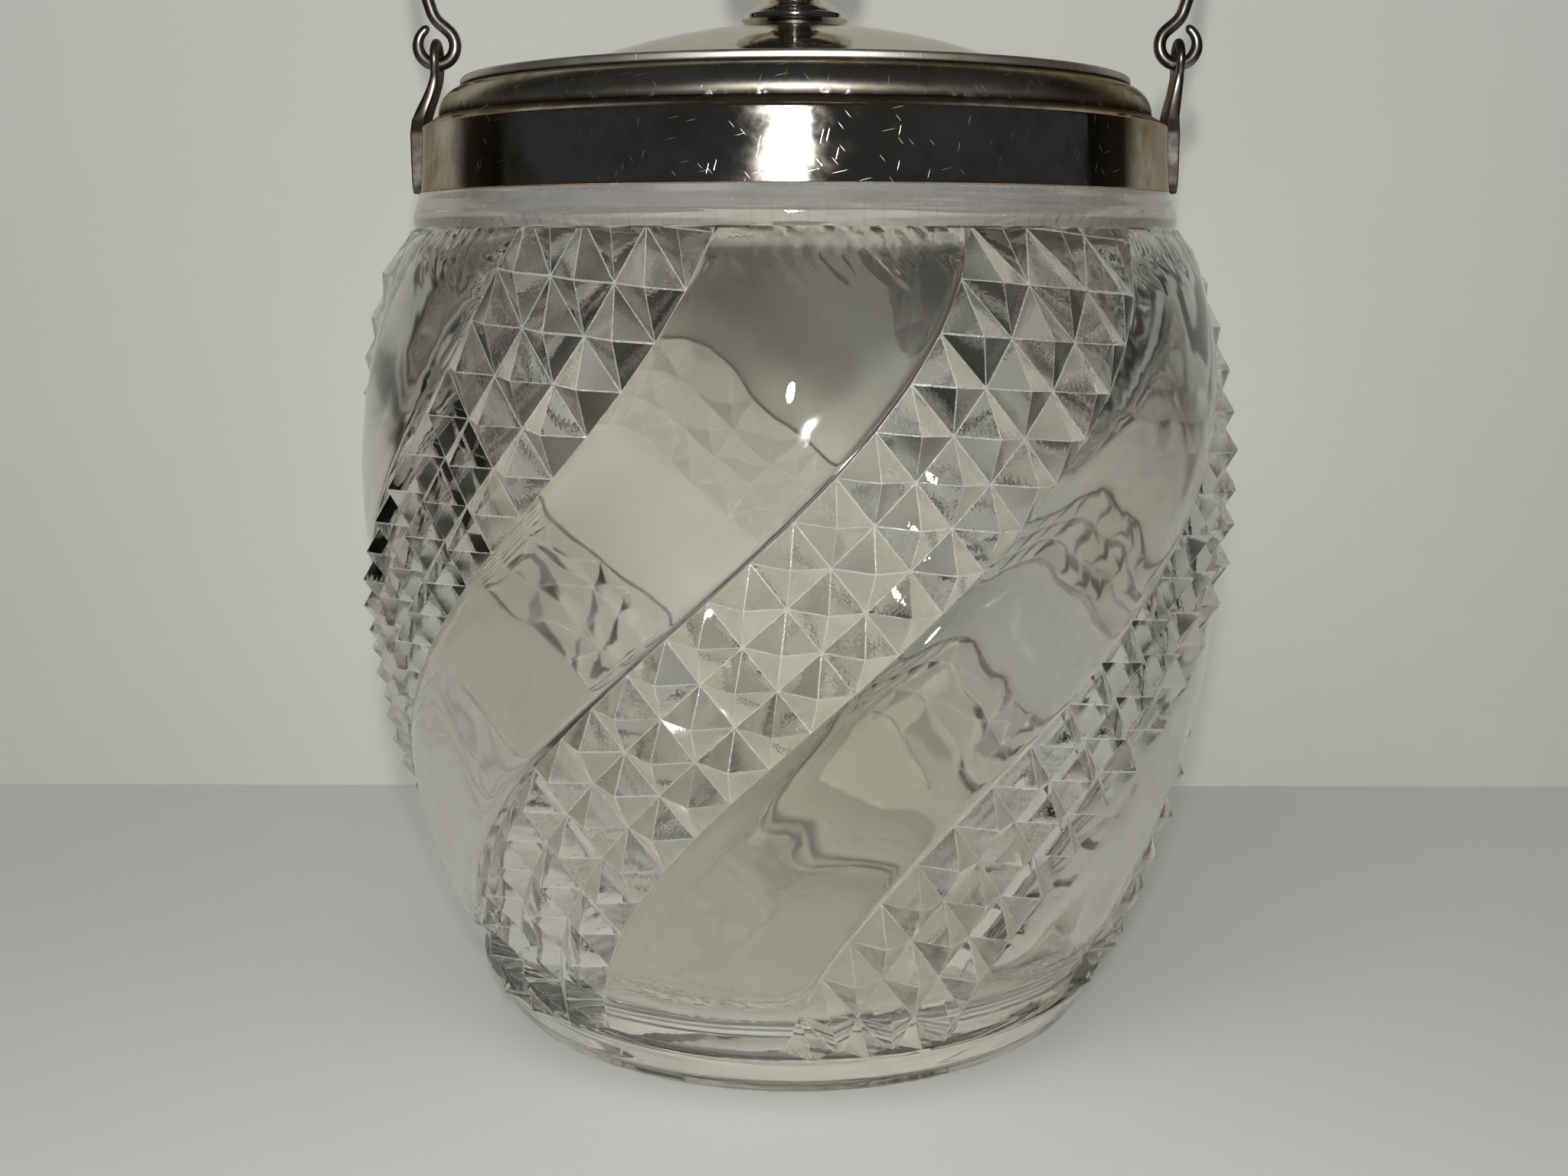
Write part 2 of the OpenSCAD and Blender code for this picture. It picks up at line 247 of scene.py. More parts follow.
# long straight scratches in a surface's own two directions, as a mask
def scratchGroup():
    inputs = [("Vector", "Vector", None), ("Scale", "Float", 300.0), ("Share", "Float", 0.3)]
    group, given, filled = nodeGroup("fine scratches", inputs, [("Mask", "Float")])
    total = None
    for k, (turn, stretch) in enumerate(((0.25, 0.05), (1.35, 0.035), (-0.7, 0.06))):
        spin = add(group, "Mapping", Vector=given["Vector"], Rotation=(0, 0, turn),
                   Location=(k * 0.31, k * 0.17, 0))
        drawn = add(group, "Mapping", Vector=spin.outputs[0], Scale=(1, stretch, 1))
        cells = add(group, "TexVoronoi", voronoi_dimensions="2D", Vector=drawn.outputs[0],
                    Scale=given["Scale"], Randomness=1.0)
        line = remap(group, cells.outputs["Distance"], 0.02, 0.055, 1.0, 0.0)
        pick = add(group, "SeparateColor", Color=cells.outputs["Color"])
        kept = mathNode(group, "LESS_THAN", pick.outputs[0], given["Share"])
        shown = times(group, line, kept)
        total = shown if total is None else mathNode(group, "MAXIMUM", total, shown)
    group.links.new(total, filled["Mask"])
    return group


# a turned surface laid flat: the way round the axis and the height, both in metres
def unrollGroup():
    inputs = [("Vector", "Vector", None), ("Radius", "Float", 0.05)]
    group, given, filled = nodeGroup("unroll", inputs, [("Vector", "Vector")])
    split = add(group, "SeparateXYZ", Vector=given["Vector"])
    front = times(group, split.outputs["Y"], -1.0)
    angle = mathNode(group, "ARCTAN2", split.outputs["X"], front)
    way = times(group, angle, given["Radius"])
    join = add(group, "CombineXYZ", X=way, Y=split.outputs["Z"])
    group.links.new(join.outputs[0], filled["Vector"])
    return group


# cloudy tarnish: how far a plated surface has turned
def tarnishGroup():
    inputs = [("Vector", "Vector", None), ("Amount", "Float", 0.3), ("Scale", "Float", 40.0),
              ("Clean", "Color", rgba(0.8, 0.77, 0.7)), ("Turned", "Color", rgba(0.3, 0.2, 0.1))]
    group, given, filled = nodeGroup("tarnish", inputs, [("Color", "Color"), ("Mask", "Float")])
    broad = cloudy(group, given["Vector"], given["Scale"], 5.0, Roughness=0.6, Distortion=0.4)
    fine = cloudy(group, given["Vector"], times(group, given["Scale"], 9.0), 3.0)
    blend = plus(group, times(group, broad, 0.75), times(group, fine, 0.25))
    edge = minus(group, 0.78, times(group, given["Amount"], 0.6))
    mask = remap(group, blend, minus(group, edge, 0.16), plus(group, edge, 0.1))
    group.links.new(mask, filled["Mask"])
    group.links.new(mixColor(group, mask, given["Clean"], given["Turned"]), filled["Color"])
    return group


# specks of dust and pits
def speckGroup():
    inputs = [("Vector", "Vector", None), ("Scale", "Float", 400.0), ("Amount", "Float", 0.2)]
    group, given, filled = nodeGroup("specks", inputs, [("Mask", "Float")])
    cells = add(group, "TexVoronoi", Vector=given["Vector"], Scale=given["Scale"])
    dot = remap(group, cells.outputs["Distance"], 0.08, 0.2, 1.0, 0.0)
    where = cloudy(group, given["Vector"], times(group, given["Scale"], 0.1), 2.0)
    fewer = minus(group, 0.72, given["Amount"])
    gate = remap(group, where, fewer, 0.8)
    group.links.new(times(group, dot, gate), filled["Mask"])
    return group


groups = {
    "scratches": scratchGroup(),
    "unroll": unrollGroup(),
    "tarnish": tarnishGroup(),
    "specks": speckGroup(),
}


def useGroup(tree, key, **values):
    node = tree.nodes.new("ShaderNodeGroup")
    node.node_tree = groups[key]
    fill(tree, node, **values)
    return node


def newMaterial(name):
    material = bpy.data.materials.new(name)
    material.use_nodes = True
    tree = material.node_tree
    surface = next(n for n in tree.nodes if n.type == "BSDF_PRINCIPLED")
    place = tree.nodes.new("ShaderNodeTexCoord").outputs["Object"]
    return material, tree, surface, place


glassLook = {
    "color": rgba(0.965, 0.96, 0.945),
    "smoke": rgba(0.91, 0.885, 0.83),  # painted reflection: brownish patches that stand in for what the glass mirrors
    "ior": 1.52,
    "shadow": rgba(0.82, 0.82, 0.805),
}


def glassMaterial(name, rough, ripple, rippleScale, transmission=1.0, grain=0.0, stretch=1.0):
    # rough is the least and the most roughness; stretch draws the ripples out around the jar
    material, tree, surface, place = newMaterial(name)
    drawn = add(tree, "Mapping", Vector=place, Scale=(stretch, stretch, 1.0))
    # the glass's colour carries painted reflections: brownish patches in place of what it mirrors
    reflectionPatchCloud = cloudy(tree, place, 30.0, 2.0)
    reflectionPatches = remap(tree, reflectionPatchCloud, 0.42, 0.66)
    color = mixColor(tree, reflectionPatches, glassLook["color"], glassLook["smoke"])
    wave = cloudy(tree, drawn.outputs[0], rippleScale, 1.0, Roughness=0.5)
    worn = rough[0]
    if rough[0] != rough[1]:
        cloud = cloudy(tree, place, 95.0, 2.0)
        worn = remap(tree, cloud, 0.38, 0.62, rough[0], rough[1])
    height = wave
    if grain:
        fine = cloudy(tree, place, 2200.0, 1.0)
        height = plus(tree, height, times(tree, fine, grain))
    bump = add(tree, "Bump", Strength=ripple, Distance=0.0002, Height=height)
    fill(tree, surface, Base_Color=color, Transmission_Weight=transmission, IOR=glassLook["ior"],
         Roughness=worn, Normal=bump.outputs[0])
    # lamps shine through the glass instead of being blocked by it
    clear = tree.nodes.new("ShaderNodeBsdfTransparent")
    clear.inputs[0].default_value = glassLook["shadow"]
    path = tree.nodes.new("ShaderNodeLightPath")
    eitherShader(tree, path.outputs["Is Shadow Ray"], surface.outputs[0], clear.outputs[0])
    return material


plateLook = {
    # a near-black colour for the seams and crevices: part dirt, part painted shade
    "dirtShadeColor": rgba(0.03, 0.02, 0.01),
    "heated": rgba(0.15, 0.09, 0.038),  # round the lugs, from the soldering
    "bareMetal": rgba(0.78, 0.5, 0.36),  # where the plating is worn through
}


def plateMaterial(name, clean, turned, amount, rough, tarnishScale=45.0, radius=0.055,
                  edge=rgba(0.42, 0.37, 0.3)):
    # the scratches run round the axis at that radius, or as they fall where it is 0;
    # edge tints what the plate mirrors at a flat angle
    material, tree, surface, place = newMaterial(name)
    flat = useGroup(tree, "unroll", Vector=place, Radius=radius).outputs[0] if radius else place
    clouds = useGroup(tree, "tarnish", Vector=place, Amount=amount, Scale=tarnishScale, Clean=clean,
                      Turned=turned)
    scratches = useGroup(tree, "scratches", Vector=flat, Scale=1300.0, Share=0.5)
    pits = useGroup(tree, "specks", Vector=place, Scale=900.0, Amount=0.16)
    # the grime mask darkens the seams and crevices where parts meet: part dirt, part painted shade
    grime_and_shade, heat, worn, rubbed = [add(tree, "Attribute", attribute_name=mask).outputs["Fac"]
                                 for mask in ("grime_and_shade", "heat", "worn", "rubbed")]
    patch = cloudy(tree, place, 420.0, 4.0, Roughness=0.7)
    dirtAndShade = times(tree, grime_and_shade, remap(tree, patch, 0.24, 0.45))
    pitted = times(tree, pits.outputs["Mask"], 0.7)
    dirtAndShade = mathNode(tree, "MAXIMUM", dirtAndShade, pitted, clamp=True)
    streaks = add(tree, "Mapping", Vector=flat, Scale=(1.0, 0.12, 1.0))
    streak = cloudy(tree, streaks.outputs[0], 260.0, 3.0)
    streaky = remap(tree, streak, 0.3, 0.6, 0.55, 1.0)
    heated = times(tree, heat, streaky)
    color = mixColor(tree, heated, clouds.outputs["Color"], plateLook["heated"])
    through = times(tree, worn, remap(tree, patch, 0.38, 0.52))
    color = mixColor(tree, through, color, plateLook["bareMetal"])
    color = mixColor(tree, dirtAndShade, color, plateLook["dirtShadeColor"])
    haze = times(tree, clouds.outputs["Mask"], 0.12)
    haze = plus(tree, haze, times(tree, scratches.outputs["Mask"], 0.3))
    haze = plus(tree, haze, times(tree, rubbed, 0.36))
    haze = plus(tree, haze, times(tree, dirtAndShade, 0.45))
    smudge = cloudy(tree, place, 70.0, 6.0, Roughness=0.6)
    haze = plus(tree, haze, remap(tree, smudge, 0.42, 0.7, 0.0, 0.1))
    haze = mathNode(tree, "ADD", haze, rough, clamp=True)
    height = minus(tree, times(tree, smudge, 0.5), times(tree, scratches.outputs["Mask"], 0.35))
    height = minus(tree, height, times(tree, dirtAndShade, 0.5))
    bump = add(tree, "Bump", Strength=0.25, Distance=0.0002, Height=height)
    fill(tree, surface, Base_Color=color, Metallic=1.0, Specular_Tint=edge, Roughness=haze,
         Normal=bump.outputs[0])
    return material


def plasterMaterial():
    material, tree, surface, place = newMaterial("plaster")
    grain = cloudy(tree, place, 700.0, 6.0, Roughness=0.7)
    stain = cloudy(tree, place, 60.0, 3.0)
    stained = remap(tree, stain, 0.35, 0.7)
    color = mixColor(tree, stained, rgba(0.76, 0.73, 0.64), rgba(0.5, 0.44, 0.33))
    rough = remap(tree, grain, 0.3, 0.7, 0.75, 0.95)
    bump = add(tree, "Bump", Strength=0.6, Distance=0.0003, Height=grain)
    fill(tree, surface, Base_Color=color, Roughness=rough, Normal=bump.outputs[0])
    return material


def brassMaterial():
    material, tree, surface, place = newMaterial("brass")
    clouds = useGroup(tree, "tarnish", Vector=place, Amount=0.45, Scale=160.0, Clean=rgba(0.72, 0.5, 0.2),
                      Turned=rgba(0.2, 0.11, 0.05))
    turnedLines = cloudy(tree, place, 900.0, 2.0)
    rough = remap(tree, turnedLines, 0.3, 0.7, 0.25, 0.42)
    rough = plus(tree, rough, times(tree, clouds.outputs["Mask"], 0.2))
    bump = add(tree, "Bump", Strength=0.3, Distance=0.0001, Height=turnedLines)
    fill(tree, surface, Base_Color=clouds.outputs["Color"], Metallic=1.0, Roughness=rough,
         Normal=bump.outputs[0])
    return material


clearGlass = glassMaterial("clear_glass", (0.0, 0.0), 0.35, 110.0)
facetGlass = glassMaterial("moulded_glass", (0.0, 0.025), 0.3, 140.0, 1.0, 0.2)
insideGlass = glassMaterial("inside_glass", (0.05, 0.05), 0.5, 90.0)
edgeGlass = glassMaterial("worn_glass", (0.05, 0.3), 1.0, 600.0, 0.84, 0.8)
neckGlass = glassMaterial("neck_glass", (0.0, 0.06), 1.0, 700.0, 0.88, 0.05, 0.05)
polishedPlate = plateMaterial("silver_plate", rgba(0.80, 0.77, 0.70), rgba(0.42, 0.33, 0.2), 0.35, 0.015)
lidPlate = plateMaterial("lid_plate", rgba(0.82, 0.79, 0.72), rgba(0.45, 0.37, 0.24), 0.25, 0.06, radius=0,
                         edge=rgba(0.74, 0.72, 0.66))
darkPlate = plateMaterial("tarnished_plate", rgba(0.44, 0.43, 0.41), rgba(0.15, 0.12, 0.1), 0.5, 0.2,
                          tarnishScale=90.0, radius=0)
plaster = plasterMaterial()
brass = brassMaterial()
print("materials made")


# the materials of the glass piece, in their order
clearKind, facetKind, wornKind, insideKind, neckKind = range(5)

glass = {
    "bandCount": 6,  # bands of diamonds, with a smooth flute after each
    "bandWidth": 28.2,  # degrees
    "cellsAcross": 3,
    "crossGrooves": 43,  # helices that cut the bands into diamonds
    "crossStart": -12.745,  # degrees
    "grooveDepth": 1.7,  # below the flutes
    "grooveFade": (0.4, 0.2),  # how much shallower the grooves get up to the neck, and in its last part
    "grooveFill": 0.8,  # how far a groove's floor is filled
    "tipProud": 1.6,
    "tipFade": (0.5, 0.3),  # the same for the tips
    "ridge": 0.018,  # half width of a ridge's flat, share of a cell
    "ridgeVaries": (0.45, 1.25),
    "valley": 0.012,  # half width of a groove's floor, share of a cell
    "fadeFrom": 86.0,  # the heights over which the diamonds get shallower
    "fadeOver": 26.0,
    "lastFadeFrom": 113.0,
    "lastFadeOver": 6.0,
    "wide": 82.0,  # height at which the body is widest
    "shoulder": 119.0,
    "shoulderRadius": 59.0,
    "shoulderRound": 4.6,
    "shoulderCuts": (115.6, 116.6, 117.5, 118.3),  # more edges where the shoulder curves
    "neckGroove": 57.0,
    "neckBulge": 3.3,  # how far the shoulder stands out from the neck's groove
    "rim": 54.0,
    "mouth": 49.4,
    "footTop": 7.3,
    "footTopRadius": 50.2,
    "wall": 4.8,
    "innerShoulder": (53.0, 117.0),
    "floor": 9.0,
    "floorRise": 0.25,  # at the middle
    "floorRound": 8,
    "floorRadius": 40,
    "segments": 216,  # of the plain parts
}
flute = {
    "proud": 0.12,  # middle of a flute, above the jar's outline
    "sag": 0.55,  # how much lower its sides are
    "rollWide": 2.5,  # how gently it rolls over on its left and right side
    "rollWidePower": 1.15,
    "rollTight": 0.6,
    "rollTightPower": 1.1,
    "lip": 16.0,  # height at which it ends
    "lipSoft": 1.8,
    "lipLeft": 2.3,  # how far its end climbs at its left side, from that share of its width
    "lipLeftFrom": 0.45,
    "lipRight": 3.2,  # and at its right side
    "lipRightFrom": 0.85,
    "lipRightOver": 0.15,
    "wave": 0.1,  # unevenness of its surface
    "waveReach": 8,
    "waveRadius": 66,
}
insideWaves = {
    "wave": 0.36,
    "waveStretch": 0.4,  # the waves run along the flutes
    "waveReach": 9,
    "rippleReach": 5,
    "rippleShare": 0.15,
    "startRings": 5,  # the rings over which the waves begin
    "fullFrom": 50,  # radius from which the waves have their full size
    "bodyRadius": 60,
}
# how far round the jar the bands and the cross grooves have come at a height, in degrees
climb = {"middle": 63.4, "turn": -5.57, "slope": 49.67, "bend": 9.88}
lean = {"middle": 66, "slope": 0.691, "bend": 2.463}
curveReach = 50


def shelfArc(out, up):
    # radius of an arc that goes out and up by that much from a tangent
    return (out * out + up * up) / (2 * out)


bellyRadius = high("glass_jar").x - glass["tipProud"]
upperArc = shelfArc(bellyRadius - glass["shoulderRadius"], glass["shoulder"] - glass["wide"])
lowerArc = shelfArc(bellyRadius - glass["footTopRadius"], glass["wide"] - glass["footTop"])


def crown(z):
    # the jar's outline without its diamonds: radius at a height
    size = upperArc if z > glass["wide"] else lowerArc
    r = bellyRadius - size + math.sqrt(max(size * size - (z - glass["wide"]) ** 2, 0))
    drop = (z - glass["shoulder"] + glass["shoulderRound"]) / glass["shoulderRound"]
    if drop > 0:
        r = min(r, glass["neckGroove"] + glass["neckBulge"] * (1 - min(drop, 1.03) ** 2))
    return r


def swirl(z):
    s = (z - climb["middle"]) / curveReach
    return climb["turn"] + climb["slope"] * s - climb["bend"] * s ** 3


def crossLean(z):
    s = (z - lean["middle"]) / curveReach
    return lean["slope"] * (z - lean["middle"]) + lean["bend"] * s ** 3


# a table that gives back the height from the sum of both
heightSteps = np.linspace(-14, 134, 3001)
heightPhase = np.array([swirl(z) + crossLean(z) for z in heightSteps])


def surfacePlace(across, phase):
    # where a long groove at that angle meets a cross groove of that phase: angle in degrees and height
    z = float(np.interp(phase - across, heightPhase, heightSteps))
    return phase - crossLean(z), z


def pointAt(angle, r, z):
    a = math.radians(angle)
    return np.array([r * math.sin(a), -r * math.cos(a), z])


def smoothStep(x):
    x = min(max(x, 0.0), 1.0)
    return x * x * (3 - 2 * x)


def neckFade(z, broad, last):
    faded = 1 - broad * smoothStep((z - glass["fadeFrom"]) / glass["fadeOver"])
    return faded - last * smoothStep((z - glass["lastFadeFrom"]) / glass["lastFadeOver"])


def grooveLevel(z):
    return -glass["grooveDepth"] * neckFade(z, *glass["grooveFade"])


def uneven(point, reach, amount):
    return amount * noise.noise(Vector(point) / reach)


def fluteLift(share, z, raised):
    # profile across a flute, from 0 at its left side to 1 at its right side
    span = 360 / glass["bandCount"] - glass["bandWidth"]
    length = math.radians(span) * crown(z)
    groove = grooveLevel(z) + raised
    top = flute["proud"] - flute["sag"] * (2 * share - 1) ** 2
    left = math.exp(-(share * length / flute["rollWide"]) ** flute["rollWidePower"])
    right = math.exp(-((1 - share) * length / flute["rollTight"]) ** flute["rollTightPower"])
    full = top - (top - groove) * max(left, right)
    toLeft = max(0, 1 - share / flute["lipLeftFrom"])
    toRight = max(0, (share - flute["lipRightFrom"]) / flute["lipRightOver"])
    lip = flute["lip"] + flute["lipLeft"] * toLeft ** 2 + flute["lipRight"] * toRight ** 2
    shown = smoothStep((z - lip + flute["lipSoft"] / 2) / flute["lipSoft"])
    return groove + (full - groove) * shown


def jarShell():
    # the outside of the body: points, faces and each face's material
    count, width, cells = glass["bandCount"], glass["bandWidth"], glass["cellsAcross"]
    ridge, valley = glass["ridge"], glass["valley"]
    pitch = 360 / glass["crossGrooves"]
    near = ridge + valley
    height = glass["grooveDepth"] + glass["tipProud"]
    raised = glass["grooveFill"] * valley * height
    chance = random.Random(5)
    rowSteps = [0.0, near, 0.14, 0.26, 0.38, 0.5, 0.62, 0.74, 0.86, 1 - near]
    fluteSteps = [0.0, 0.008, 0.018, 0.03, 0.045, 0.065, 0.09, 0.12, 0.16, 0.21, 0.28, 0.36, 0.44, 0.52, 0.6,
                  0.68, 0.76, 0.83, 0.885, 0.925, 0.952, 0.97, 0.982, 0.99, 0.996]
    lines = []  # angle across, kind and share of a flute for every long line round the jar
    for b in range(count):
        start = b * 360 / count - width / 2
        lines += [(start + width * i / cells, "band", 0.0) for i in range(cells)]
        span = 360 / count - width
        lines += [(start + width + span * t, "flute", t) for t in fluteSteps]
    total = len(lines)
    points, keys, faces, kinds = [], {}, [], []

    def put(key, maker):
        if key not in keys:
            keys[key] = len(points)
            points.append(maker())
        return keys[key]

    def across(line):
        return lines[line % total][0] + 360 * (line // total)

    def phaseAt(row):
        return glass["crossStart"] + pitch * row

    def corner(line, row):
        # where a long line meets a cross groove
        angle, z = surfacePlace(across(line), phaseAt(row))
        return pointAt(angle, crown(z) + grooveLevel(z), z)

    def outward(point, lift):
        size = math.hypot(point[0], point[1])
        return point + np.array([point[0], point[1], 0]) / size * lift

    def wrapped(line, row):
        while line >= total:
            line, row = line - total, row - glass["crossGrooves"]
        return line, row

    def gridPoint(line, row, step):
        # a point on a long line, step counts the row's own subdivisions
        if step == len(rowSteps):
            row, step = row + 1, 0
        line, row = wrapped(line, row)

        def make():
            kind, share = lines[line][1:]
            if kind == "flute" and share > 0:
                angle, z = surfacePlace(across(line), phaseAt(row + rowSteps[step]))
                dent = uneven(pointAt(angle, flute["waveRadius"], z), flute["waveReach"],
                              flute["wave"] * math.sin(math.pi * share))
                return pointAt(angle, crown(z) + fluteLift(share, z, raised) + dent, z)
            a, b = corner(line, row), corner(line, row + 1)
            return outward(a + (b - a) * rowSteps[step], raised)
        return put(("line", line, row, step), make)

    def crossPoint(line, row, end):
        # a point on a cross groove between two long lines, near one end or the other
        line, row = wrapped(line, row)
        share = near if end == 0 else 1 - near

        def make():
            a, b = corner(line, row), corner(line + 1, row)
            return outward(a + (b - a) * share, raised)
        return put(("cross", line, row, end), make)

    def diamond(line, row):
        c = [corner(line, row), corner(line + 1, row), corner(line + 1, row + 1), corner(line, row + 1)]
        angle, z = surfacePlace((across(line) + across(line + 1)) / 2, phaseAt(row + 0.5))
        proud = glass["tipProud"] * neckFade(z, *glass["tipFade"])
        tip = pointAt(angle, crown(z) + proud, z)
        edge = ridge * chance.uniform(*glass["ridgeVaries"])
        facets = []  # a facet for each side: its two ends at the groove, and its peak
        for k in range(4):
            a, b = c[k], c[(k + 1) % 4]
            for p in (a * (1 - 2 * valley - edge) + b * edge + tip * 2 * valley,
                      a * edge + b * (1 - 2 * valley - edge) + tip * 2 * valley,
                      b * edge + a * edge + tip * (1 - 2 * edge)):
                facets.append(len(points))
                points.append(p)
        last = len(rowSteps)
        base = [gridPoint(line, row, 0), gridPoint(line + 1, row, 0), gridPoint(line + 1, row + 1, 0),
                gridPoint(line, row + 1, 0)]
        steps = [[crossPoint(line, row, 0), crossPoint(line, row, 1)],
                 sidePoints(line + 1, row, last),
                 [crossPoint(line, row + 1, 1), crossPoint(line, row + 1, 0)],
                 sidePoints(line, row, last)[::-1]]
        for k in range(4):
            first, second, peak = facets[3 * k:3 * k + 3]
            before = facets[3 * ((k + 3) % 4):3 * ((k + 3) % 4) + 3]
            side = steps[k]
            faces.append((first, second, peak))
            kinds.append(facetKind)
            faces.append(tuple(side) + (second, first))
            faces.append((base[k], side[0], first, before[1], steps[(k + 3) % 4][-1]))
            faces.append((first, peak, before[2], before[1]))
            kinds.extend([wornKind] * 3)
        faces.append(tuple(facets[2::3]))
        kinds.append(wornKind)

    def sidePoints(line, row, last):
        # the points of one row of a long groove; only a groove beside a flute has all of them
        kind = lines[line % total][1]
        first = line % total
        beside = kind == "flute" or lines[first - 1][1] == "flute"
        chosen = range(1, last) if beside else (1, last - 1)
        return [gridPoint(line, row, s) for s in chosen]

    spare = 5  # the rows go past the foot and the shoulder, where they are cut off
    ends = [glass["footTop"] - spare, glass["shoulder"] + spare]
    lowPhase, highPhase = np.interp(ends, heightSteps, heightPhase)
    for line in range(total):
        kind = lines[line][1]
        middle = across(line)
        firstRow = math.floor((middle + lowPhase - glass["crossStart"]) / pitch) - 1
        lastRow = math.ceil((middle + highPhase - glass["crossStart"]) / pitch) + 1
        for row in range(firstRow, lastRow):
            if kind == "band":
                diamond(line, row)
            else:
                for s in range(len(rowSteps)):
                    faces.append((gridPoint(line, row, s), gridPoint(line + 1, row, s),
                                  gridPoint(line + 1, row, s + 1), gridPoint(line, row, s + 1)))
                    kinds.append(clearKind)
    return points, faces, kinds


def angleOf(v):
    return math.atan2(v.co.x, -v.co.y)


def loopFrom(verts):
    # the loop's vertices in the order its open edges join them, towards growing angles
    walk = [min(verts, key=angleOf)]
    while len(walk) < len(verts):
        ways = [e.other_vert(walk[-1]) for e in walk[-1].link_edges if e.is_boundary]
        walk.append(min((v for v in ways if v not in walk[-2:-1]), key=angleOf))
    return walk


def stitched(work, outer, inner, smooth):
    # zips two closed loops of different counts
    a, b = loopFrom(outer), loopFrom(inner)
    i = j = 0
    while i < len(a) or j < len(b):
        nextA = angleOf(a[i % len(a)]) if i < len(a) else math.inf
        nextB = angleOf(b[j % len(b)]) if j < len(b) else math.inf
        if nextA <= nextB:
            trio = (a[i - 1], a[i % len(a)], b[j - 1])
            i += 1
        else:
            trio = (a[i - 1], b[j % len(b)], b[j - 1])
            j += 1
        if len(set(trio)) == 3:
            face = work.faces.new(trio)
            face.smooth = smooth


def cutShell(work):
    # cuts the shell level at the shoulder and the foot, and gives back its two open loops
    weld, halfway = 2e-6, 0.06
    top, foot = glass["shoulder"] * mm, glass["footTop"] * mm
    cuts = [(top, True, False), (foot, False, True)]
    cuts += [(z * mm, False, False) for z in glass["shoulderCuts"]]
    for z, clearUp, clearDown in cuts:
        bmesh.ops.bisect_plane(work, geom=work.verts[:] + work.edges[:] + work.faces[:], dist=1e-8,
                               plane_co=(0, 0, z), plane_no=(0, 0, 1), clear_outer=clearUp,
                               clear_inner=clearDown)
    bmesh.ops.remove_doubles(work, verts=work.verts[:], dist=weld)
    open_ = [v for v in work.verts if any(e.is_boundary for e in v.link_edges)]
    return [v for v in open_ if v.co.z > halfway], [v for v in open_ if v.co.z < halfway]


def neckOutline():
    # from the shoulder up to the rim and over it
    top, neck = high("glass_jar").z, low("collar_band").z
    rim, mouth = glass["rim"], glass["mouth"]
    outline = [(57.0, 119.25), (57.05, 119.6), (57.25, 120.1), (57.25, 120.8), (57.05, 121.6), (56.75, 122.6),
               (56.4, 123.6), (56.2, neck)]
    over = [(rim, neck + 0.01, 0), (rim, top, 1.2), (mouth, top, 1.4), (mouth, neck, 0)]
    return outline + [tuple(p) for p in fillet(over, 6)]


def insideOutline():
    # down the inside to the middle of the floor
    belly = bellyRadius - glass["wall"]

    def wall(size, heights):
        return [(belly - size + math.sqrt(size ** 2 - (z - glass["wide"]) ** 2), z) for z in heights]
    shoulderRadius, shoulder = glass["innerShoulder"]
    outline = [(50.2, 121.7), (51.4, 119.4), (52.9, 117.0)]
    outline += wall(shelfArc(belly - shoulderRadius, shoulder - glass["wide"]), np.linspace(114, 84, 11))
    turn = glass["floorRound"]
    turnTop = glass["floor"] + turn
    outline += wall(lowerArc - glass["wall"], np.linspace(81, turnTop, 22))
    outline += [tuple(p) for p in arc(outline[-1][0] - turn, turnTop, turn, -8, -90, 9)]
    for r in (38, 30, 22, 14, 7):
        outline.append((r, glass["floor"] + glass["floorRise"] * (1 - (r / glass["floorRadius"]) ** 2)))
    return outline


# from the foot down, round the edge that the jar stands on and under it
underOutline = [
    (50.25, 7.0), (50.05, 6.5), (49.0, 4.9), (47.9, 3.3), (47.35, 2.6), (47.15, 2.3), (47.05, 1.7),
    (46.8, 0.9), (46.3, 0.3), (45.6, 0.03), (44.0, 0.0), (41.6, 0.0), (40.6, 0.15), (39.9, 0.7),
    (39.0, 1.35), (37.0, 1.75), (30, 1.9), (20, 1.95), (10, 2.0),
]


def glassRings(work, outline, endHeight, plain, materials):
    # closes the outline at the axis; the rings after the first plain ones are a little uneven
    segments = glass["segments"]
    made = []
    for i, (r, z) in enumerate(outline):
        begun = smoothStep((i - plain) / insideWaves["startRings"])
        amount = insideWaves["wave"] * begun * min(r / insideWaves["fullFrom"], 1)
        row = []
        for k in range(segments):
            angle = 360 * (k + 0.5) / segments - 180
            spot = pointAt(angle, r, z)
            along = pointAt(angle - swirl(z), r, z * insideWaves["waveStretch"])
            push = uneven(along, insideWaves["waveReach"], amount)
            push += uneven(spot, insideWaves["rippleReach"], amount * insideWaves["rippleShare"])
            row.append(work.verts.new(spot * (1 + push / insideWaves["bodyRadius"]) * mm))
        made.append(row)
    made.append([work.verts.new((0, 0, endHeight * mm))])
    for i, (a, b) in enumerate(zip(made[:-1], made[1:])):
        for k in range(segments):
            j = (k + 1) % segments
            face = work.faces.new((a[k], a[j], b[j], b[k]) if len(b) > 1 else (a[k], a[j], b[0]))
            face.smooth = True
            face.material_index = materials[min(i, len(materials) - 1)]
    return made[0]


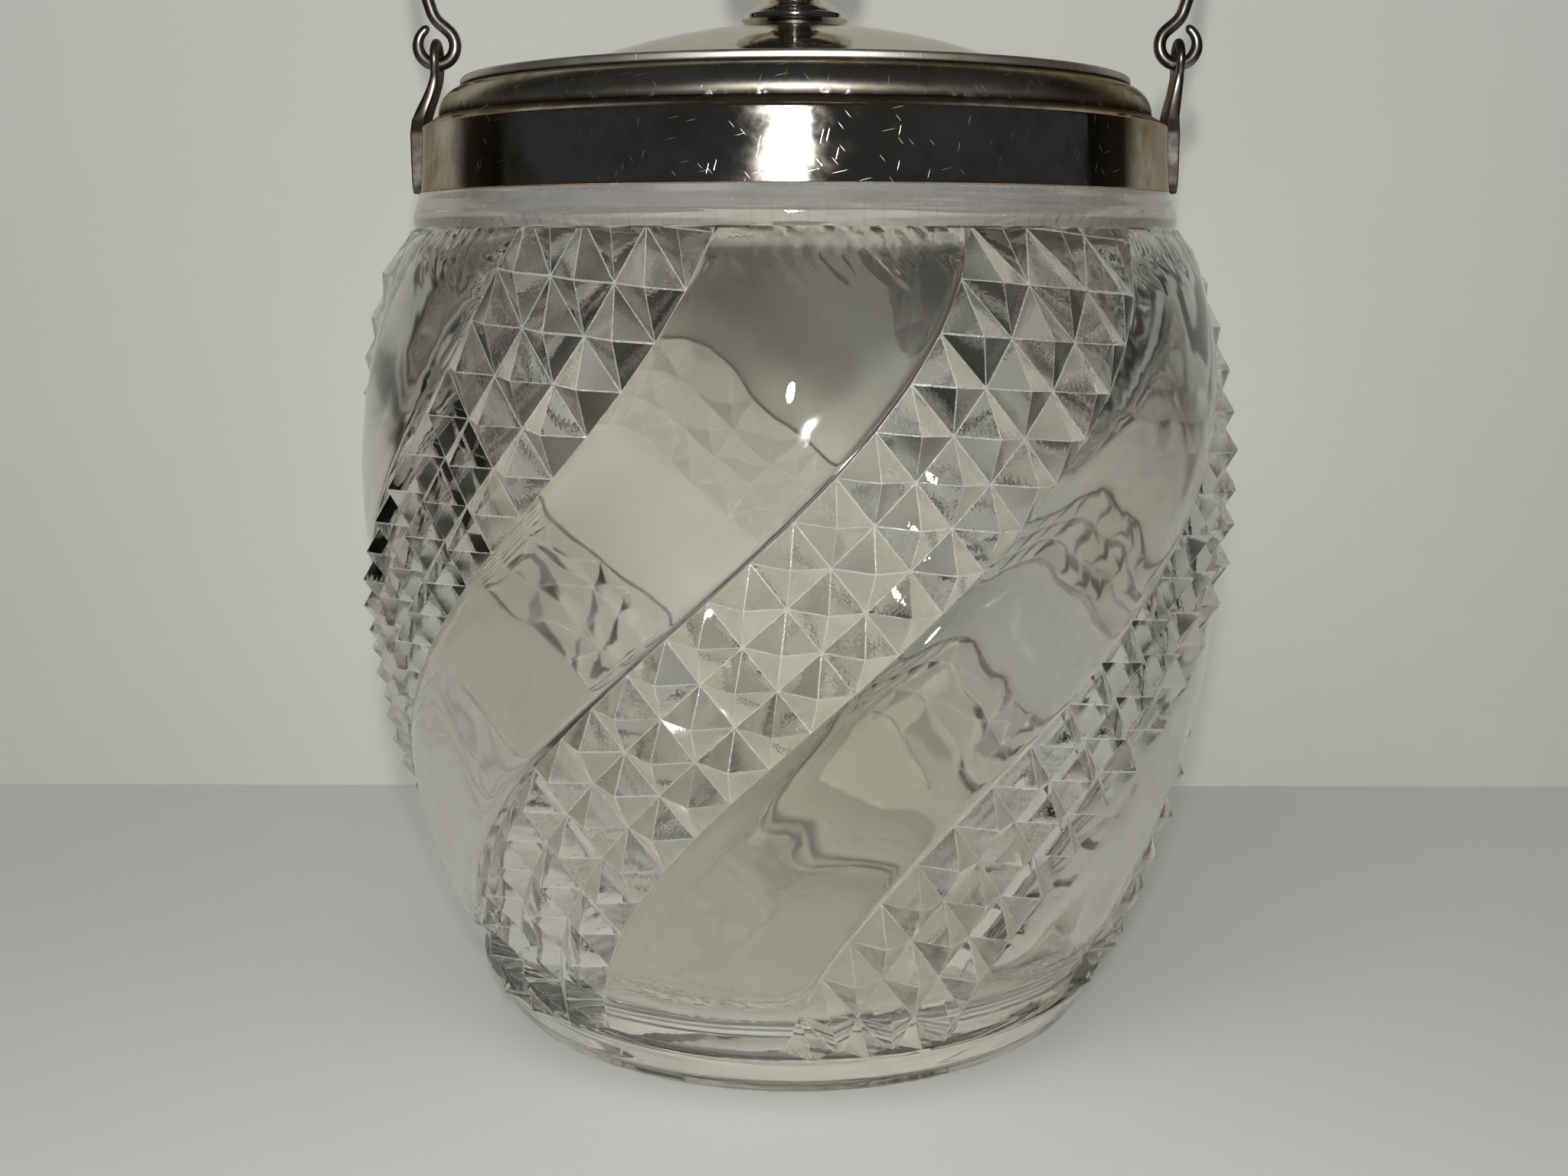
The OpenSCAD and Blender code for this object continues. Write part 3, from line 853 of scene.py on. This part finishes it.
def glassJar():
    points, faces, kinds = jarShell()
    mesh = bpy.data.meshes.new("glass")
    mesh.from_pydata([tuple(p * mm) for p in points], [], faces)
    mesh.polygons.foreach_set("use_smooth", [kind == clearKind for kind in kinds])
    mesh.polygons.foreach_set("material_index", kinds)
    work = bmesh.new()
    work.from_mesh(mesh)
    topLoop, footLoop = cutShell(work)
    upper, inside = neckOutline(), insideOutline()
    milky = 8  # rings of the neck below the mount
    kinds = [neckKind] * milky + [clearKind] * (len(upper) - milky) + [insideKind] * len(inside)
    floorMiddle = glass["floor"] + glass["floorRise"]
    stitched(work, topLoop, glassRings(work, upper + inside, floorMiddle, len(upper), kinds), True)
    under = glassRings(work, underOutline, underOutline[-1][1], len(underOutline), [clearKind])
    stitched(work, footLoop, under, False)
    work.to_mesh(mesh)
    work.free()
    for material in (clearGlass, facetGlass, edgeGlass, insideGlass, neckGlass):
        mesh.materials.append(material)
    piece = placed("glass", mesh)
    facingOut(piece)
    mesh.set_sharp_from_angle(angle=math.radians(40))
    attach(piece, "jar")
    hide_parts("glass_jar")


glassJar()


def paint(piece, name, values):
    # a value for every vertex, which the plate's material reads
    layer = piece.data.attributes.new(name, "FLOAT", "POINT")
    layer.data.foreach_set("value", values)


def ringMask(piece, name, places):
    # a soft band round each (radius, height, reach)
    values = []
    for v in piece.data.vertices:
        r, z = math.hypot(v.co.x, v.co.y) / mm, v.co.z / mm
        away = [((r - pr) ** 2 + (z - pz) ** 2) / reach ** 2 for pr, pz, reach in places]
        values.append(math.exp(-min(away)))
    paint(piece, name, values)


def heatMask(piece):
    # brown tarnish where the lugs were soldered on
    wide, fade = 24, 11  # degrees to either side
    values = []
    for v in piece.data.vertices:
        away = math.degrees(math.atan2(abs(v.co.y), abs(v.co.x)))
        values.append(1 - smoothStep((away - wide) / fade))
    paint(piece, "heat", values)


collar = {
    "taper": 0.5,
    "hollow": 0.06,
    "sheet": 0.8,
    "ledge": 1.4,  # height of its sloping turned-in top
    "seam": 0.25,  # how far the top shows past the moulding's foot
    "dent": 0.02,
    "segments": 256,
}


def collarBand():
    bottom, top = low("collar_band").z, high("collar_band").z
    r = high("collar_band").x
    foot = high("collar_moulding").x
    t, taper, seam = collar["sheet"], collar["taper"], collar["seam"]
    shelf = top - collar["ledge"]
    wall = []
    for share in (0.06, 0.12, 0.22, 0.34, 0.46, 0.58, 0.7, 0.82, 0.9, 0.95):
        hollow = collar["hollow"] * math.sin(math.pi * share)
        wall.append((r - taper * share - hollow, bottom + (shelf - bottom) * share, 0))
    ledge = [(r - taper + (foot + seam - r + taper) * share, shelf + collar["ledge"] * share, 0)
             for share in (0.25, 0.5, 0.75)]
    corners = [(r, bottom, 0.25), *wall, (r - taper, shelf, 0.35), *ledge, (foot + seam, top, 0.2),
               (foot - 2 * t, top, 0.1), (foot - 2 * t, top - t, 0.1), (foot + t / 2, top - t, 0.2),
               (r - taper - t, shelf, 0.2), (r - t, bottom, 0.2)]
    points, faces = turned(fillet(corners), collar["segments"], collar["dent"], 3)
    piece = newPiece("band", points, faces, "jar", polishedPlate)
    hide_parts("collar_band")
    facingOut(piece)
    # painted shade with dirt: darker where the band's top meets the moulding's foot
    ringMask(piece, "grime_and_shade", [(foot + 0.2, top, 0.9), (foot + 1.0, top - 0.5, 0.6)])
    ringMask(piece, "worn", [(r, bottom, 0.35), (r - taper, shelf, 0.25)])
    heatMask(piece)
    return keepSharp(piece)


moulding = {
    "round": 4.0,
    "upright": 0.4,  # height of the straight part under the round
    "setback": 3.2,  # from the foot in to the top of the round
    "seat": 2.45,  # width that the lid lies on
    "dent": 0.03,
}


def collarMoulding():
    foot, top = high("collar_moulding").x, high("collar_moulding").z
    lipEnd = low("collar_moulding").z
    bottom = high("collar_band").z
    radius, t = moulding["round"], collar["sheet"]
    cx, cz = foot - radius, bottom + moulding["upright"]
    lip = foot - moulding["setback"] - moulding["seat"]
    toTop = math.degrees(math.asin((top - cz) / radius))
    outline = [(foot, bottom + 0.02)] + arc(cx, cz, radius, 0, toTop, 14)
    outline += fillet([(lip + 0.9, top, 0.0), (lip, top, 0.35), (lip, lipEnd, 0.2), (lip + t, lipEnd, 0.2),
                       (lip + t, top - t, 0.3), (cx + 0.6, top - t, 0.1)], 4)
    outline += arc(cx, cz, radius - t, 78, 0, 8)[1:] + [(foot - t, bottom + 0.02)]
    points, faces = turned(outline, collar["segments"], moulding["dent"], 8)
    piece = newPiece("moulding", points, faces, "jar", polishedPlate)
    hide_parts("collar_moulding")
    facingOut(piece)
    # painted shade with dirt: darker at the moulding's foot and where the lid sits on it
    ringMask(piece, "grime_and_shade", [(foot, bottom, 1.1), (foot - moulding["setback"], top, 0.7)])
    ringMask(piece, "rubbed", [(cx, cz, 3.8)])
    heatMask(piece)
    return keepSharp(piece)


collarBand()
collarMoulding()


# a lug is a strip soldered to the band, bent in or out, with an eye on top
lug = {
    "thick": 1.4,
    "swell": 0.35,  # how much thicker the plate and the strap are than the eye
    "plate": 8.0,
    "eye": 3.3,
    "hole": 1.9,
    "eyeOut": {"left_lug": 53.9, "right_lug": 57.6},
    "letIn": 0.2,  # into the band's surface
    "outset": 0.12,  # moves the thicker plate out
    "knee": 0.6,  # the bend runs from that far below the band's top
    "bendEnd": 2.2,  # to that far below the eye
    "crease": 0.6,
}


def makeLug(node, side, name):
    bottom, top = low(node).z, high(node).z
    eyeHeight = top - lug["eye"]
    bandRadius, bandTop = high("collar_band").x, high("collar_band").z
    eyeOut = lug["eyeOut"][node]
    half = lug["thick"] / 2

    def bendAt(h):
        # middle of the strip's thickness as it rises
        start = bandRadius + half - lug["letIn"] + lug["outset"]
        knee = bandTop - lug["knee"]
        share = smoothStep((h - knee) / (eyeHeight - lug["bendEnd"] - knee))
        return start + (eyeOut - start) * share
    # cage: rows of the strip, each a height and a share of its width, then a ring round the eye
    rows = [(bottom + 0.02, 0.7), (bottom + 0.25, 0.84), (bottom + 1.2, 1.0), (bottom + 4, 1.05),
            (bandTop - 1.6, 1.02), (bandTop + 0.4, 0.78), (bandTop + 2.2, 0.68), (bandTop + 3.8, 0.64)]
    columns = (-1, -0.8, -0.33, 0.33, 0.8, 1)
    cage, faces = [], []
    for h, share in rows:
        w = lug["plate"] / 2 * share
        cage += [(w * share, h) for share in columns]
    across = len(columns)
    for k in range(len(rows) - 1):
        for i in range(across - 1):
            a = k * across + i
            faces.append((a, a + 1, a + across + 1, a + across))
    ring = len(cage)
    angles = np.radians([-132, -119, -102, -78, -61, -48, -10, 35, 90, 145, 190])
    # smoothing draws the hole and the rim of the eye in to their sizes
    for size in (lug["hole"] - 0.15, lug["eye"] + 0.25):
        for a in angles:
            cage.append((size * math.cos(a), eyeHeight + size * math.sin(a)))
    n = len(angles)
    for i in range(n):
        j = (i + 1) % n
        faces.append((ring + i, ring + n + i, ring + n + j, ring + j))
    neck = (len(rows) - 1) * across
    for i in range(across - 1):
        faces.append((neck + i, neck + i + 1, ring + n + i + 1, ring + n + i))
    points = []
    for depth in (-half, half):
        for y, h in cage:
            swell = 1 + lug["swell"] * (1 - smoothStep((h - bandTop - 2) / 3))
            points.append((side * (bendAt(h) + depth * swell), y, h))
    count = len(cage)
    solid = [tuple(reversed(f)) for f in faces] + [tuple(v + count for v in f) for f in faces]
    sides = [(a, b) for f in faces for a, b in zip(f, f[1:] + f[:1])]
    shared = set(sides)
    solid += [(a, b, b + count, a + count) for a, b in sides if (b, a) not in shared]
    piece = newPiece(name, points, solid, "jar", darkPlate)
    creases = piece.data.attributes.new("crease_edge", "FLOAT", "EDGE")
    ends = [[piece.data.vertices[v].co.z / mm for v in e.vertices] for e in piece.data.edges]
    creases.data.foreach_set("value", [lug["crease"] if max(pair) < bandTop + 0.5 else 0.0 for pair in ends])
    round_ = piece.modifiers.new("round", "SUBSURF")
    round_.levels = round_.render_levels = 3
    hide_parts(node)
    facingOut(piece)
    # painted shade with dirt: the lug is darker where it lies on the band
    grime_and_shade = 0.35
    paint(piece, "grime_and_shade", [grime_and_shade if v.co.z / mm < bandTop + 1 else 0.0 for v in piece.data.vertices])


makeLug("left_lug", -1, "lug_left")
makeLug("right_lug", 1, "lug_right")
print("lugs made")


bail = {
    "wire": 0.935,  # radius
    "tipThin": 0.25,
    "tipSteps": 12,  # the wire thins over that many rings at each tip
    "hook": 2.8,
    "hookTip": 50,  # degrees
    "exit": 40,  # degrees from level, where the wire leaves the hook
    "straight": 1.5,
    "bend": 4.0,
    "flare": 18,  # degrees that the arch leans out at its feet
    "middle": 1.85,  # how far the handle hangs off the jar's axis
    "hookAt": 55.75,
    "sides": 20,
}


def bailHandle():
    pivot = next(j for j in frame["joints"] if j["name"] == "bail_swing")
    pivotHeight = pivot["pos_m"][2] / mm
    hookHeight = pivotHeight + bail["hook"]
    leave = math.radians(90 + bail["exit"])
    rise = math.radians(bail["exit"])
    flare = math.radians(bail["flare"])
    exitPoint = np.array([bail["hookAt"] + bail["hook"] * math.cos(leave),
                          hookHeight + bail["hook"] * math.sin(leave)])
    start = exitPoint + bail["straight"] * np.array([math.cos(rise), math.sin(rise)])
    bendMiddle = start + bail["bend"] * np.array([math.cos(leave), math.sin(leave)])
    archRadius = bail["bend"] + bendMiddle[0] / math.cos(flare)
    archHeight = bendMiddle[1] + (archRadius - bail["bend"]) * math.sin(flare)
    half = arc(bail["hookAt"], hookHeight, bail["hook"], bail["hookTip"] + 360, 90 + bail["exit"], 40)
    half += [exitPoint + (start - exitPoint) * t for t in (0.33, 0.66)]
    half += arc(bendMiddle[0], bendMiddle[1], bail["bend"], bail["exit"] - 90, -bail["flare"], 12)
    half += arc(0, archHeight, archRadius, -bail["flare"], 90, 60)[1:]
    line = [(x, z) for x, z in half] + [(-x, z) for x, z in half[:-1][::-1]]
    centre = np.array([(x + bail["middle"], 0.0, z) for x, z in line])
    sides, r = bail["sides"], bail["wire"]
    tangents = np.gradient(centre, axis=0)
    tangents /= np.linalg.norm(tangents, axis=1)[:, None]
    # round ends: a few shrinking rings at each tip, each a distance out and a size, in wire radii
    ends = [(0.38, 0.924), (0.71, 0.707), (0.92, 0.383)]
    rings = [(centre[0] - tangents[0] * out * r, tangents[0], size) for out, size in reversed(ends)]
    rings += [(c, t, 1.0) for c, t in zip(centre, tangents)]
    rings += [(centre[-1] + tangents[-1] * out * r, tangents[-1], size) for out, size in ends]
    points, faces = [], []
    for i, (place, t, size) in enumerate(rings):
        fromEnd = min(i, len(rings) - 1 - i) - len(ends)
        size *= 1 - bail["tipThin"] * (1 - smoothStep(fromEnd / bail["tipSteps"]))
        n = np.array([-t[2], 0, t[0]])
        for k in range(sides):
            a = 2 * math.pi * k / sides
            points.append(place + r * size * (math.cos(a) * n + math.sin(a) * np.array([0, 1.0, 0])))
    for k in range(len(rings) - 1):
        for i in range(sides):
            j = (i + 1) % sides
            faces.append((k * sides + i, k * sides + j, (k + 1) * sides + j, (k + 1) * sides + i))
    for place, row in ((centre[0] - tangents[0] * r, 0), (centre[-1] + tangents[-1] * r, len(rings) - 1)):
        points.append(place)
        for i in range(sides):
            faces.append((row * sides + i, row * sides + (i + 1) % sides, len(points) - 1))
    piece = newPiece("handle", points, faces, "bail", darkPlate)
    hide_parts("bail_handle")
    facingOut(piece)


bailHandle()


lid = {
    "sheet": 0.7,
    "rimHeight": 1.3,
    "rimWidth": 1.4,
    "dome": 39.0,  # radius, where it meets the brim
    "rise": 8.9,
    "flat": 4.5,  # radius of the flat that the finial stands on
    "stud": 2.25,
    "dent": 0.05,
}


def lidCover():
    r, bottom = high("lid_cover").x, low("lid_cover").z
    t = lid["sheet"]
    brim = bottom + t
    size = shelfArc(lid["rise"], lid["dome"])
    middle = brim + lid["rise"] - size
    apex = high("lid_cover").z
    angle = math.degrees(math.asin((brim - middle) / size))
    angleTop = math.degrees(math.acos(lid["flat"] / size))
    dome = arc(0, middle, size, angle + 0.8, angleTop, 30)
    under = arc(0, middle, size - t, angleTop - 0.4, angle + 0.2, 24)
    rimTop, rimInside = bottom + lid["rimHeight"], r - lid["rimWidth"]
    outline = fillet([(r, bottom, 0.25), (r, rimTop, 0.5), (rimInside, rimTop, 0.45),
                      (rimInside, brim, 0.1)], 6)
    outline += [(lid["dome"] + 2.2, brim), (lid["dome"] + 0.9, brim + 0.03)]
    outline += dome + [(lid["stud"], apex), (lid["stud"], apex - t)]
    outline += under + [(lid["dome"] - 0.2, bottom + 0.05), (lid["dome"] + 0.6, bottom)]
    points, faces = turned(outline, collar["segments"], lid["dent"], 21)
    piece = newPiece("cover", points, faces, "lid", lidPlate)
    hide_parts("lid_cover")
    facingOut(piece)
    # painted shade with dirt: darker inside the rim, round the finial's foot and under the rim's edge
    ringMask(piece, "grime_and_shade", [(rimInside, brim, 0.4), (5.0, apex, 0.7), (r, bottom, 0.3)])
    ringMask(piece, "rubbed", [(r, bottom + lid["rimHeight"] / 2, 1.0)])
    return keepSharp(piece)


finial = {
    "neck": 4.1,
    "flange": 8.0,
    "flangeTop": 1.7,  # heights are from the finial's own foot
    "bore": 2.05,
    "boreDepth": 9.0,
    "cove": 6.5,
    "waist": 3.2,
    "bead": 4.2,
    "grip": 10.5,
    "gripFoot": 9.7,
    "gripEdge": 4.4,
    "gripFlat": 8.0,  # half the distance between the centres of its upper and lower arcs
    "button": 1.8,
}


def finialKnob():
    base, top = low("finial_knob").z, high("finial_knob").z
    f = finial
    edgeAt = f["grip"] - f["gripEdge"]
    crownRadius = f["gripEdge"] + math.hypot(edgeAt, f["gripFlat"])
    gripZ = base + f["gripFoot"] + math.sqrt(crownRadius ** 2 - f["waist"] ** 2) - f["gripFlat"]
    meet = math.degrees(math.atan2(f["gripFlat"], edgeAt))
    toWaist = math.degrees(math.acos(f["waist"] / crownRadius))
    toButton = math.degrees(math.acos(f["button"] / crownRadius))
    flangeTop = base + f["flangeTop"]
    outline = fillet([(f["bore"], base, 0.15), (f["neck"], base, 0.2), (f["neck"], base + 0.8, 0.15),
                      (f["flange"], base + 0.8, 0.3), (f["flange"], flangeTop, 0.3),
                      (f["flange"] - 0.6, base + 1.72, 0.1)], 4)
    outline += arc(f["waist"] + f["cove"], flangeTop + f["cove"], f["cove"], 244, 181, 14)
    outline += fillet([(f["waist"], base + 8.1, 0.1), (f["bead"], base + 8.2, 0.55),
                       (f["bead"], base + 9.4, 0.55), (f["waist"] + 0.1, base + 9.5, 0.1)], 6)
    outline += arc(0, gripZ + f["gripFlat"], crownRadius, -toWaist, -meet, 8)
    outline += arc(edgeAt, gripZ, f["gripEdge"], -meet, meet, 18)[1:]
    outline += arc(0, gripZ - f["gripFlat"], crownRadius, meet, toButton, 12)[1:]
    outline += arc(0, top - f["button"], f["button"], -10, 84, 10)
    outline += [(0.02, top), (0.02, base + f["boreDepth"]), (f["bore"], base + f["boreDepth"])]
    points, faces = turned(outline, collar["segments"] // 2)
    piece = newPiece("finial", points, faces, "lid", lidPlate)
    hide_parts("finial_knob")
    facingOut(piece)
    # painted shade with dirt: darker in the finial's corners
    ringMask(piece, "grime_and_shade", [(f["neck"], base + 0.4, 0.6), (f["waist"] + 0.4, base + 8.2, 0.5),
                              (f["waist"], base + 9.5, 0.4)])
    return keepSharp(piece, 40)


lidCover()
finialKnob()

for node, material in (("rim_bedding", plaster), ("lid_bezel", lidPlate), ("finial_stud", brass),
                       ("finial_washer", brass), ("finial_nut", brass)):
    mesh = nodes[node].data
    mesh.materials.clear()
    mesh.materials.append(material)
print("mount, lid and finial made")


stageLook = {
    "floor": rgba(0.47, 0.472, 0.45),
    "back": rgba(0.545, 0.545, 0.505),
    "lit": rgba(0.45, 0.45, 0.405),  # both, as seen through the glass
    "around": rgba(0.025, 0.021, 0.017),  # the room past their pale part
    "glossPale": 0.26,  # metres over which the plate's reflections turn from pale to dark
    "glossDark": 0.4,
    "glassPale": 0.14,  # and what is seen through the glass, in an oval
    "glassDark": 0.22,
    "oval": (0.55, 1.0, 1.5),
    "patchScale": 21.0,  # broken up by patches of that scale
    "backAt": 0.1,
    "backHeight": 0.9,
    "size": 1.6,
}


def stageMaterial(name, color, seeThrough):
    # the object's own reflections see a darker room past the pale part
    material, tree, surface, place = newMaterial(name)
    cloud = cloudy(tree, place, 9.0, 3.0)
    shade = tuple(c * 0.94 for c in color[:3]) + (1.0,)
    cloth = mixColor(tree, cloud, color, shade)
    away = add(tree, "VectorMath", operation="LENGTH", in0=place).outputs["Value"]
    path = tree.nodes.new("ShaderNodeLightPath")
    cloth = mixColor(tree, path.outputs["Is Transmission Ray"], cloth, stageLook["lit"])
    metal = remap(tree, away, stageLook["glossPale"], stageLook["glossDark"])
    squeezed = add(tree, "VectorMath", operation="MULTIPLY", in0=place, in1=stageLook["oval"]).outputs[0]
    ovalAway = add(tree, "VectorMath", operation="LENGTH", in0=squeezed).outputs["Value"]
    glassy = remap(tree, ovalAway, stageLook["glassPale"], stageLook["glassDark"])
    patches = cloudy(tree, place, stageLook["patchScale"], 1.0)
    glassy = times(tree, glassy, remap(tree, patches, 0.45, 0.6, 0.25, 1.0))
    throughGlass = times(tree, glassy, path.outputs["Is Transmission Ray"])
    past = mathNode(tree, "MAXIMUM", metal, throughGlass)
    unseen = minus(tree, 1.0, path.outputs["Is Camera Ray"])
    color = mixColor(tree, times(tree, past, unseen), cloth, stageLook["around"])
    fill(tree, surface, Base_Color=color, Roughness=0.85, Specular_IOR_Level=0.15)
    # the backdrop isn't seen from behind
    if seeThrough:
        clear = tree.nodes.new("ShaderNodeBsdfTransparent")
        side = tree.nodes.new("ShaderNodeNewGeometry")
        eitherShader(tree, side.outputs["Backfacing"], surface.outputs[0], clear.outputs[0])
    return material


def stagePlane(name, corners, material):
    mesh = bpy.data.meshes.new(name)
    mesh.from_pydata(corners, [], [(0, 1, 2, 3)])
    mesh.materials.append(material)
    plane = placed(name, mesh)


def makeStage():
    size, back, top = stageLook["size"], stageLook["backAt"], stageLook["backHeight"]
    stagePlane("floor", [(-size, -size, 0), (size, -size, 0), (size, size, 0), (-size, size, 0)],
               stageMaterial("floor", stageLook["floor"], False))
    foot = -0.001  # a little below the floor, so no gap shows
    stagePlane("backdrop", [(-size, back, foot), (size, back, foot), (size, back, top), (-size, back, top)],
               stageMaterial("backdrop", stageLook["back"], True))


def makeWorld():
    # the light from the room, and what the plate and the glass see of it in front and behind
    world = bpy.data.worlds.new("studio")
    bpy.context.scene.world = world
    world.use_nodes = True
    tree = world.node_tree
    tree.nodes.clear()
    direction = tree.nodes.new("ShaderNodeTexCoord").outputs["Generated"]
    split = tree.nodes.new("ShaderNodeSeparateXYZ")
    tree.links.new(direction, split.inputs[0])
    front = remap(tree, split.outputs["Y"], 0.2, 0.8, 1.0, 0.0)
    glossy = mixColor(tree, front, rgba(0.32, 0.32, 0.29), rgba(0.026, 0.028, 0.031))
    through = mixColor(tree, front, rgba(0.42, 0.42, 0.39), rgba(0.045, 0.04, 0.032))
    path = tree.nodes.new("ShaderNodeLightPath")
    color = mixColor(tree, path.outputs["Is Glossy Ray"], rgba(0.2, 0.2, 0.195), glossy)
    color = mixColor(tree, path.outputs["Is Transmission Ray"], color, through)
    color = mixColor(tree, path.outputs["Is Camera Ray"], color, rgba(0.42, 0.43, 0.40))
    background = tree.nodes.new("ShaderNodeBackground")
    tree.links.new(color, background.inputs[0])
    output = tree.nodes.new("ShaderNodeOutputWorld")
    tree.links.new(background.outputs[0], output.inputs[0])


def areaLight(name, place, target, width, height, power):
    data = bpy.data.lights.new(name, "AREA")
    data.shape = "ELLIPSE"
    data.size, data.size_y = width, height
    data.energy = power
    light = placed(name, data)
    light.location = place
    aim = Vector(target) - Vector(place)
    light.rotation_euler = aim.to_track_quat("-Z", "Y").to_euler()
    return light


camera = {"place": (0.0, -0.27804, 0.11637), "down": 10.78, "left": 0.333, "lens": 40.84}


def makeCamera():
    data = bpy.data.cameras.new("camera")
    data.lens = camera["lens"]
    data.sensor_width = 36
    data.clip_start = 0.01
    view = placed("camera", data)
    view.location = camera["place"]
    view.rotation_euler = Euler((math.radians(90 - camera["down"]), 0, math.radians(camera["left"])), "XYZ")
    bpy.context.scene.camera = view


makeStage()
makeWorld()
areaLight("flash", (0.0, -0.285, 0.162), (0, 0.02, 0.09), 0.011, 0.018, 0.6)
overhead = areaLight("overhead", (-0.12, -0.5, 0.8), (0, 0.03, 0.06), 0.7, 0.7, 4.7)
overhead.visible_glossy = overhead.visible_transmission = False
makeCamera()
bpy.context.scene.view_settings.view_transform = "Standard"
cycles = bpy.context.scene.cycles  # facets of glass need long light paths
cycles.max_bounces, cycles.transmission_bounces, cycles.glossy_bounces = 20, 20, 10
print("stage made")
